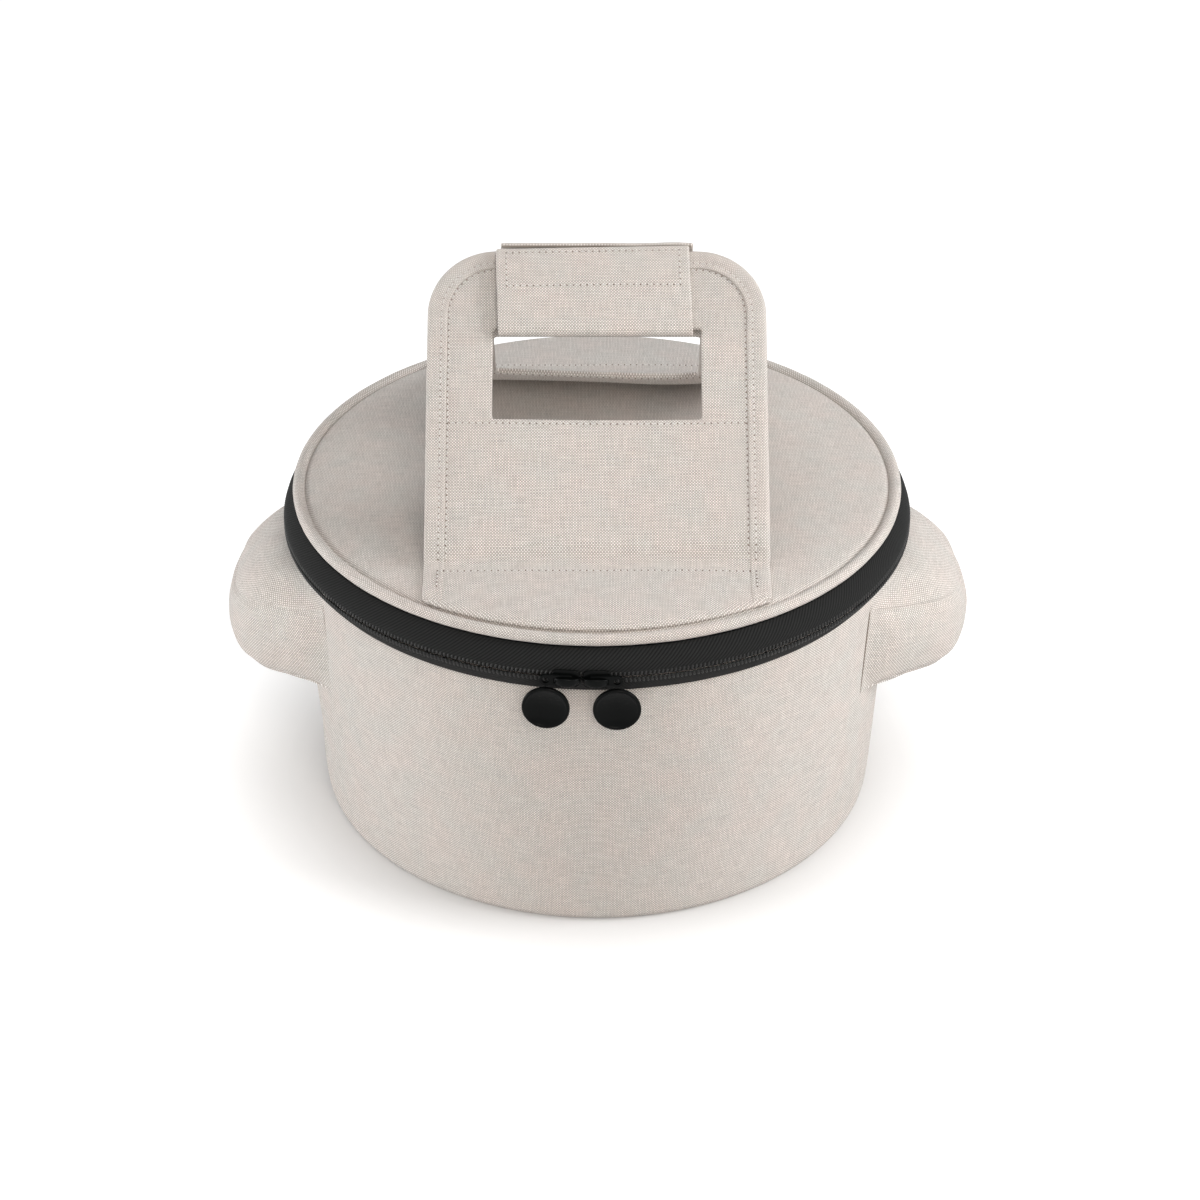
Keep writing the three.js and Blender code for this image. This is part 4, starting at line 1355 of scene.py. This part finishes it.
def make_band(handle):
    """Canvas folded over the edge of a handle and sewn down."""
    sizes = handle.sizes
    width, thick, thin = sizes.band, sizes.thickness / 2, sizes.panel / 2
    half_round = [
        (width, 0.85 * thin),
        (0.985 * width, thin + 0.7 * MM),
        (0.88 * width, thin + 0.95 * MM),
        (sizes.seam, thin + 0.55 * MM),
        (0.5 * width, thick),
        (0.25 * width, 0.98 * thick),
        (0.09 * width, 0.72 * thick),
        (0, 0.25 * thick),
    ]
    section = half_round + [(inset, -out) for inset, out in reversed(half_round)]
    girth = [0]
    for (a, p), (b, q) in zip(section, section[1:] + section[:1]):
        girth.append(girth[-1] + math.hypot(b - a, q - p))
    whole = handle.edge_length()
    steps = round(whole / (2.6 * MM))
    bm = cut_on_lines([whole * i / steps for i in range(steps + 1)], girth)
    lay_weave(bm)

    def place(u, v, w):
        side = min(range(len(girth)), key=lambda i: abs(girth[i] - v)) % len(section)
        inset, out = section[side]
        x, s = handle.edge(u, inset)
        near = 1 - smooth(s, -2 * MM, 20 * MM)
        pucker = noise.noise(Vector((u / (7 * MM), inset / (9 * MM), handle.seed)))
        gather = 0.22 * MM if s > sizes.reach - sizes.corner else 0.1 * MM
        out = out * between(1, 0.8, near) + math.copysign(gather * pucker, out)
        return handle.place(x, s, out)

    bend(bm, place)
    weld(bm)
    close_ends(bm)
    face_out(bm)
    band = sew(f"{handle.name}_handle_edge", bm, canvas())
    refine(band)
    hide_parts(f"{handle.name}_binding")
    return band


def make_handle_stitches(handle):
    sizes = handle.sizes
    bm = bmesh.new()
    thin = sizes.panel / 2
    free = 8 * MM
    foot = handle.anchor_depth(handle.half)
    seam_rise = thin + 0.62 * MM
    handle.row(bm, handle.flat_edge(sizes.seam, foot + free), seam_rise)
    handle.row(bm, handle.flat_edge(sizes.band + 0.6 * MM, foot + free), thin + PROUD)
    inner, hem = handle.half - sizes.band - 1.5 * MM, sizes.window_foot - sizes.hem
    handle.row(bm, [Vector((-inner, hem)), Vector((inner, hem))], thin + PROUD)
    return sew(f"{handle.name}_handle_stitches", bm, sewing_thread(), needle_hole())


def make_foot_stitches(handle):
    """The rows that sew a handle down on the lid, along its fold and a short way down each side."""
    sizes = handle.sizes
    bm = bmesh.new()
    seam, inner = handle.half - sizes.seam, handle.half - sizes.band
    thin, down = sizes.panel / 2, -12 * MM
    rise = thin * 0.9 + 0.6 * MM
    handle.row(bm, [Vector((-inner, 0)), Vector((inner, 0))], thin + PROUD, (1,))
    for side in (-1, 1):
        corner = Vector((side * seam, 0))
        for end in ((side * inner, 0), (side * seam, down)):
            handle.row(bm, [corner, Vector(end)], rise, (1,))
    return sew(f"{handle.name}_foot_stitches", bm, sewing_thread(), needle_hole())


def cross_fold(piece, handle):
    """Bakes the piece's place into its mesh."""
    y, z = handle.base
    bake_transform(piece)


def dress_handle(handle):
    panel = make_panel(handle)
    band = make_band(handle)
    for piece in (panel, band):
        cross_fold(piece, handle)
    settle(make_handle_stitches(handle), f"{handle.name}_handle")
    settle(make_foot_stitches(handle), "lid")


# Grip.


def crossing(p, d, q, e):
    """Where two lines in a plane cross, each given by a point and a direction."""
    share = ((q.x - p.x) * e.y - (q.y - p.y) * e.x) / (d.x * e.y - d.y * e.x)
    return p + d * share


def loop_of(sides):
    return [crossing(*side, *sides[(i + 1) % len(sides)]) for i, side in enumerate(sides)]


def grip_loop(out):
    """Corners of the sleeve in y and z: front top, rear top, rear foot and front foot."""
    sizes = bpy.context.scene.carrier_handles
    base, top = front_line()
    way = (top - base).normalized()
    up = Vector((-way.y, way.x))
    rear = rear_line()
    rear_foot, rear_top = rear[-2:]
    rear_way = (rear_top - rear_foot).normalized()
    rear_out = Vector((rear_way.y, -rear_way.x))
    strap_foot = base + way * (sizes.reach - sizes.strap)
    lift = sizes.thickness / 2 * math.sin(sizes.rear_strap - sizes.lean)
    front_side = strap_foot + up * sizes.closure
    foot_way = Vector((-math.cos(sizes.foot_tilt), math.sin(sizes.foot_tilt)))
    below = strap_foot - way * sizes.clearance
    over = top + way * (sizes.clearance + lift)
    back = rear_foot + rear_out * (sizes.thickness / 2 + sizes.clearance)
    sides = [(front_side, way), (over, up), (back, rear_way), (below, foot_way)]
    moved = []
    corners = loop_of(sides)
    for a, b in zip(corners, corners[1:] + corners[:1]):
        run = (b - a).normalized()
        moved.append((a + Vector((-run.y, run.x)) * out, run))
    return loop_of([moved[-1], *moved[:-1]])


class Wrap:
    """The grip's sleeve. Its flat places are x across and s along it, from its front top over the
    rear."""

    def __init__(self):
        self.sizes = bpy.context.scene.carrier_handles
        corners = grip_loop(self.sizes.wrap / 2)
        front_top, front_foot = corners[0], corners[3]
        down = (front_foot - front_top).normalized()
        start = front_top + down * 0.8 * MM
        end = front_top + down * 2.4 * MM
        self.run = Run([start, *corners, end], 2.4 * MM)
        self.rear_foot = self.run.places[3]
        self.front_foot = self.run.places[4]
        self.end = self.run.places[5]
        self.half = high("grip_back").x

    def place(self, x, s, out=0):
        """The cloth of the back; the front's is a little loose, and sewn on slightly askew."""
        loose = smooth(s, self.rear_foot, self.front_foot + 10 * MM)
        top = smooth(s, self.front_foot, self.end)
        swell = 1 - (x / self.half) ** 4
        lift = (0.5 * MM + 0.9 * MM * swell * math.sin(math.pi * top)) * loose
        wave = noise.noise(Vector((x / (26 * MM), s / (22 * MM), 4))) * 0.5 * MM
        calm = 1 - smooth(abs(x), self.half - 8 * MM, self.half)
        askew = (-0.8 * MM - 1.4 * MM * top) * loose
        return self.run.place(x + askew, s + 0.018 * x * top, out + lift + wave * calm)


def make_sleeve(name, wrap, start, end):
    span = end - start
    up = lines(start, end, round(span / (2.2 * MM)))
    bm = cut_on_lines(lines(-wrap.half, wrap.half, 44), up)
    lay_weave(bm)
    bend(bm, lambda x, s, z: wrap.place(x, s))
    sleeve = sew(name, bm, canvas())
    refine(thicken(sleeve, wrap.sizes.wrap, 0))
    return sleeve


def make_grip_stitches(wrap):
    """The box that sews the hook strip inside the flap, and a row along each side of the back."""
    side = wrap.half - 5 * MM
    top, bottom = wrap.end - 2.6 * MM, wrap.end - 21 * MM
    out = wrap.sizes.wrap / 2 + PROUD
    corners = [(-side, top), (side, top), (side, bottom), (-side, bottom)]
    loop = [Vector(corner) for corner in corners + corners[:1]]
    flap = bmesh.new()
    for a, b in zip(loop, loop[1:]):
        sew_row(flap, [a, b], wrap.place, out)
    back = bmesh.new()
    for s in (wrap.run.places[2] + 3 * MM, wrap.rear_foot - 4 * MM):
        sew_row(back, [Vector((-side, s)), Vector((side, s))], wrap.place, out)
    finish = (sewing_thread(), needle_hole())
    return sew("grip_flap_stitches", flap, *finish), sew("grip_back_stitches", back, *finish)


# Sliders and pulls.


class ZipPlace:
    """The place of one slider: a runs outwards along the zip, out from the drum's axis and up."""

    def __init__(self, name):
        pulls = bpy.context.scene.carrier_pulls
        self.side = -1 if name == "left" else 1
        pin = Vector(JOINTS[f"pull_link_{name}_swing"]["pos_m"])
        turn = turn_of(pin) + self.side * math.atan2(pulls.pin, math.hypot(pin.x, pin.y))
        self.out = around(1, turn, 0)
        self.along = Vector((math.cos(turn), math.sin(turn), 0)) * self.side
        self.link = pin.dot(self.out)
        self.height = zip_height()

    def at(self, a, out, up):
        return self.along * a + self.out * out + Vector((0, 0, self.height + up))


def block(bm, low_corner, high_corner):
    a, b = Vector(low_corner), Vector(high_corner)
    matrix = Matrix.Translation((a + b) / 2) @ Matrix.Diagonal((*(b - a), 1))
    return bmesh.ops.create_cube(bm, size=1, matrix=matrix)["verts"]


def round_corners(bm, verts, axis, radius):
    """Rounds the four edges of a block that run along an axis."""
    edges = {edge for vert in verts for edge in vert.link_edges}
    across = [e for e in edges if abs((e.verts[1].co - e.verts[0].co).normalized()[axis]) > 0.9]
    bmesh.ops.bevel(
        bm, geom=across, offset=radius, offset_type="OFFSET", segments=4, profile=0.5,
        affect="EDGES", material=-1,
    )


def make_slider(name, place):
    pulls = bpy.context.scene.carrier_pulls
    half, tall, mid = pulls.slider / 2, pulls.height / 2, pulls.plate / 2
    low_half, post, thin = 2.1 * MM, 2.6 * MM, 0.45 * MM
    face = place.link - pulls.link / 2 - pulls.play
    inner = face - pulls.plate - 3 * MM
    bm = bmesh.new()
    plate = block(bm, (-half, face - pulls.plate, -tall), (half, face, tall))
    round_corners(bm, plate, 1, 2.6 * MM)
    block(bm, (-half, inner - pulls.plate, -low_half), (half, inner, low_half))
    block(bm, (-half, inner - mid, -thin), (post - half, face - mid, thin))
    bend(bm, place.at)
    face_out(bm)
    slider = sew(f"slider_{name}_body", bm, zip_metal())
    soften(slider, 0.35 * MM)
    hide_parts(f"slider_{name}")
    return slider


def make_crown(name, place):
    """The curved bridge of a slider, broad in its middle and narrow at both feet."""
    pulls = bpy.context.scene.carrier_pulls
    face = place.link - pulls.link / 2 - pulls.play
    rise = pulls.play * 2 + pulls.link + 0.7 * MM
    reach = 6 * MM
    bm = cut_on_lines(lines(-1, 1, 16), lines(-1, 1, 4))

    def shape(u, v, w):
        width = 1 * MM + 1.1 * MM * (1 - u * u)
        dome = 0.35 * MM * (1 - v * v) * (1 - u * u)
        up = rise * (1 - abs(u) ** 2.6) + dome
        return place.at(reach * u - 0.4 * MM, face - 0.2 * MM + up, width * v)

    bend(bm, shape)
    face_towards(bm, place.out)
    crown = sew(f"slider_{name}_crown", bm, zip_metal())
    refine(thicken(crown, 1.1 * MM, 1), 2)
    return crown


def make_link(name):
    link = sew(f"pull_link_{name}_cast", copy_of(f"pull_link_{name}"), zip_metal())
    soften(link, 0.3 * MM)
    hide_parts(f"pull_link_{name}")
    return link


def spun(bm, points, centre, axis, steps):
    """Turns a row of points round an axis into a closed skin."""
    verts = [bm.verts.new(point) for point in points]
    edges = [bm.edges.new(pair) for pair in zip(verts, verts[1:])]
    bmesh.ops.spin(
        bm, geom=verts + edges, cent=centre, axis=axis, angle=math.tau, steps=steps,
        use_merge=True,
    )


def make_disc(name, place):
    """A round tag with a raised rim and a shallow dish, and the ring that it hangs from."""
    pulls = bpy.context.scene.carrier_pulls
    half, rim = pulls.disc_thickness / 2, pulls.rim
    eye = pulls.eye - pulls.pin
    drop = -2 * pulls.ring - pulls.wire + 0.7 * MM - pulls.disc
    round_edge = 0.7 * MM
    floor, inner = half - pulls.dish, pulls.disc - rim
    side = [(0, floor), (inner - 0.5 * MM, floor)]
    side += [(inner, half - 0.12 * MM), (inner + 0.25 * MM, half)]
    for i in range(5):
        turn = math.pi / 2 * i / 4
        away, down = round_edge * (1 - math.sin(turn)), round_edge * (1 - math.cos(turn))
        side.append((pulls.disc - away, half - down))
    profile = side + [(r, -y) for r, y in reversed(side)]
    bm = bmesh.new()
    centre = Vector((eye, place.link, drop))
    points = [centre + Vector((r, y, 0)) for r, y in profile]
    spun(bm, points, centre, (0, 1, 0), 64)
    hang = Vector((eye, place.link, -pulls.ring))
    wire = []
    for i in range(13):
        turn = math.tau * i / 12
        y, z = pulls.wire * math.cos(turn), pulls.wire * math.sin(turn)
        wire.append(hang + Vector((0, pulls.ring + y, z)))
    spun(bm, wire, hang, (1, 0, 0), 32)
    weld(bm)
    bend(bm, place.at)
    face_out(bm)
    disc = sew(f"pull_disc_{name}_cast", bm, zip_metal())
    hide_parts(f"pull_disc_{name}")
    return disc


# Stage.


def aim(made, target):
    made.rotation_euler = (Vector(target) - made.location).to_track_quat("-Z", "Y").to_euler()


def add_lamp(name, location, size, power, tint=(1, 1, 1)):
    data = bpy.data.lights.new(name, "AREA")
    data.size = size
    data.energy = power
    data.color = tint
    lamp = bpy.data.objects.new(name, data)
    bpy.context.scene.collection.objects.link(lamp)
    lamp.location = location
    aim(lamp, (0, 0, 0.1))


def seen_rays(tree):
    """1 for rays from the camera and for those that mirror or pass on its view, else 0."""
    path = tree.nodes.new("ShaderNodeLightPath")
    seen = path.outputs["Is Camera Ray"]
    for ray in ("Is Glossy Ray", "Is Transmission Ray"):
        both = tree.nodes.new("ShaderNodeMath")
        both.operation = "MAXIMUM"
        tree.links.new(seen, both.inputs[0])
        tree.links.new(path.outputs[ray], both.inputs[1])
        seen = both.outputs[0]
    return seen


def make_world(stage):
    world = bpy.data.worlds.new("studio")
    bpy.context.scene.world = world
    world.use_nodes = True
    tree = world.node_tree
    background = tree.nodes["Background"]
    background.inputs["Color"].default_value = (1, 1, 1, 1)
    level = tree.nodes.new("ShaderNodeMapRange")
    tree.links.new(seen_rays(tree), level.inputs["Value"])
    level.inputs["To Min"].default_value = stage.world
    level.inputs["To Max"].default_value = 1
    tree.links.new(level.outputs[0], background.inputs["Strength"])


def make_floor(stage):
    bm = bmesh.new()
    bmesh.ops.create_grid(bm, x_segments=1, y_segments=1, size=4)
    recipe = Recipe("studio_floor", roughness=0.9, specular=0)
    recipe.paint((0.72, 0.72, 0.72, 1))
    recipe.feed(recipe.shader, "Emission Color", (1, 1, 1, 1))
    away = recipe.add("ShaderNodeVectorMath", {0: recipe.place()}, operation="LENGTH")
    # Low glow by the drum and high glow further off. Round the drum's foot the lamps' real shadow
    # shows and the floor is painted darker still, a painted shadow; further off the glow washes out
    # the lamps' shadows.
    glow = recipe.level(away.outputs["Value"], 0.14, 0.21, stage.glow_near, stage.glow_far)
    seen = recipe.sum("MULTIPLY", seen_rays(recipe.tree), glow)
    recipe.feed(recipe.shader, "Emission Strength", seen)
    floor = sew("floor", bm, recipe.material)


def make_camera(stage):
    data = bpy.data.cameras.new("camera")
    data.lens = stage.lens
    data.sensor_width = 36
    data.shift_x = 0.0025
    camera = bpy.data.objects.new("camera", data)
    bpy.context.scene.collection.objects.link(camera)
    target = Vector((0, 0, stage.target))
    back = stage.distance * math.cos(stage.elevation)
    camera.location = target + Vector((0, -back, stage.distance * math.sin(stage.elevation)))
    aim(camera, target)
    bpy.context.scene.camera = camera
    return camera


# Operators.


def settle(piece, body):
    """Says which body a piece rides on."""
    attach(piece, body)


class CARRIER_OT_stage(bpy.types.Operator):
    """Camera, lamps, floor and the light from all round"""

    bl_idname = "carrier.stage"
    bl_label = "Stage"

    def execute(self, context):
        stage = context.scene.carrier_stage
        context.scene.view_settings.view_transform = "Standard"
        make_camera(stage)
        make_world(stage)
        make_floor(stage)
        add_lamp("lamp_left", (-1.6, -0.3, 0.15), 0.8, stage.left)
        add_lamp("lamp_right", (1.4, -0.3, 0.9), 0.8, stage.right)
        add_lamp("lamp_key", (0.25, -1.35, 1.05), 0.6, stage.key, (1, 0.91, 0.82))
        add_lamp("lamp_top", (0, 0.1, 1.6), 1.2, stage.top)
        return {"FINISHED"}


class CARRIER_OT_drum(bpy.types.Operator):
    """Padded wall and base of the drum"""

    bl_idname = "carrier.drum"
    bl_label = "Drum"

    def execute(self, context):
        cloth, ears = context.scene.carrier_cloth, context.scene.carrier_ears
        for piece in (make_wall(cloth, ears), make_base(cloth)):
            settle(piece, "body")
        return {"FINISHED"}


class CARRIER_OT_lining(bpy.types.Operator):
    """Lining of the drum, of its ears and of the lid, and the binding of the rim"""

    bl_idname = "carrier.lining"
    bl_label = "Lining"

    def execute(self, context):
        cloth = context.scene.carrier_cloth
        for piece in (*make_lining(cloth), make_pocket("left"), make_pocket("right")):
            settle(piece, "body")
        settle(make_rim(), "body")
        settle(make_lid_lining(cloth), "lid")
        return {"FINISHED"}


class CARRIER_OT_ears(bpy.types.Operator):
    """The two padded ears that take the dish's handles"""

    bl_idname = "carrier.ears"
    bl_label = "Ears"

    def execute(self, context):
        cloth, ears = context.scene.carrier_cloth, context.scene.carrier_ears
        for name, side in (("left", -1), ("right", 1)):
            settle(make_ear(name, side, cloth, ears), "body")
        return {"FINISHED"}


class CARRIER_OT_zip(bpy.types.Operator):
    """Zip tapes and coils, and the canvas hinge at the back"""

    bl_idname = "carrier.zip"
    bl_label = "Zip"

    def execute(self, context):
        zip_sizes = context.scene.carrier_zip
        middle = zip_height()
        spread = math.pi - math.asin(high("hinge_strip_lower").x / high("hinge_strip_lower").y)
        start, end = low("zip_tape_lower").z, high("zip_tape_upper").z
        room = 0.35 * MM
        tapes = (
            ("lower", -1, start, middle - room, "body"),
            ("upper", 1, middle + room, end, "lid"),
        )
        for name, side, bottom, top, body in tapes:
            tape = make_tape(f"zip_{name}_tape", bottom, top, spread, f"zip_tape_{name}")
            coil = make_coil(f"zip_{name}_coil", side, spread, zip_sizes, f"zip_coil_{name}")
            settle(tape, body)
            settle(coil, body)
        hinge = make_hinge(context.scene.carrier_cloth)
        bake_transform(hinge)
        return {"FINISHED"}


class CARRIER_OT_lid(bpy.types.Operator):
    """The padded lid and its piping"""

    bl_idname = "carrier.lid"
    bl_label = "Lid"

    def execute(self, context):
        settle(make_lid(context.scene.carrier_cloth), "lid")
        spread = math.pi - math.asin(high("hinge_strip_upper").x / high("body_wall").y)
        settle(make_piping(spread), "lid")
        return {"FINISHED"}


class CARRIER_OT_handles(bpy.types.Operator):
    """Both handles with their folded edges, windows and stitches"""

    bl_idname = "carrier.handles"
    bl_label = "Handles"

    def execute(self, context):
        dress_handle(Handle("front", front_line(), 1 * MM, 1.5))
        dress_handle(Handle("rear", rear_line(), 5 * MM, 7.5))
        return {"FINISHED"}


class CARRIER_OT_grip(bpy.types.Operator):
    """The sleeve that holds both handles together, and the strips that close it"""

    bl_idname = "carrier.grip"
    bl_label = "Grip"

    def execute(self, context):
        wrap = Wrap()
        back = make_sleeve("grip_back_cloth", wrap, 0, wrap.rear_foot)
        flap = make_sleeve("grip_flap_cloth", wrap, wrap.rear_foot, wrap.end)
        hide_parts("grip_back")
        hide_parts("grip_flap")
        on_flap, on_back = make_grip_stitches(wrap)
        settle(back, "rear_handle")
        settle(on_back, "rear_handle")
        settle(on_flap, "grip_flap")
        foot, forward = wrap.run.at(wrap.rear_foot), wrap.run.at(wrap.front_foot)
        end = foot.lerp(forward, 0.4)
        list(foot)
        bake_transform(flap)
        for node in ("loop_strip", "hook_strip"):
            frame["nodes"][node].data.materials.clear()
            frame["nodes"][node].data.materials.append(hook_and_loop())
        return {"FINISHED"}


class CARRIER_OT_pulls(bpy.types.Operator):
    """The two zip sliders with their links and discs"""

    bl_idname = "carrier.pulls"
    bl_label = "Sliders and Pulls"

    def execute(self, context):
        for name in ("left", "right"):
            place = ZipPlace(name)
            cast = (
                (make_slider(name, place), f"slider_{name}"),
                (make_crown(name, place), f"slider_{name}"),
                (make_link(name), f"pull_link_{name}"),
                (make_disc(name, place), f"pull_disc_{name}"),
            )
            for piece, body in cast:
                settle(piece, body)
        return {"FINISHED"}


STEPS = ("stage", "drum", "lining", "ears", "zip", "lid", "handles", "grip", "pulls")
GROUPS = {
    "carrier_finishes": CarrierFinishes,
    "carrier_cloth": CarrierCloth,
    "carrier_ears": CarrierEars,
    "carrier_handles": CarrierHandles,
    "carrier_zip": CarrierZip,
    "carrier_pulls": CarrierPulls,
    "carrier_stage": CarrierStage,
}


class CARRIER_PT_panel(bpy.types.Panel):
    """Sizes, colours and steps of the carrier"""

    bl_label = "Casserole Carrier"
    bl_idname = "CARRIER_PT_panel"
    bl_space_type = "VIEW_3D"
    bl_region_type = "UI"
    bl_category = "Carrier"

    def draw(self, context):
        for step in STEPS:
            self.layout.operator(f"carrier.{step}")
        for name, group in GROUPS.items():
            box = self.layout.box()
            box.label(text=group.__doc__)
            for key in group.__annotations__:
                box.prop(getattr(context.scene, name), key)


CLASSES = (
    *GROUPS.values(),
    CARRIER_OT_stage,
    CARRIER_OT_drum,
    CARRIER_OT_lining,
    CARRIER_OT_ears,
    CARRIER_OT_zip,
    CARRIER_OT_lid,
    CARRIER_OT_handles,
    CARRIER_OT_grip,
    CARRIER_OT_pulls,
    CARRIER_PT_panel,
)


def register():
    for cls in CLASSES:
        bpy.utils.register_class(cls)
    for name, group in GROUPS.items():
        setattr(bpy.types.Scene, name, PointerProperty(type=group))


def unregister():
    for name in GROUPS:
        delattr(bpy.types.Scene, name)
    for cls in reversed(CLASSES):
        bpy.utils.unregister_class(cls)


def main():
    register()
    for step in STEPS:
        getattr(bpy.ops.carrier, step)()


if __name__ == "__main__":
    main()
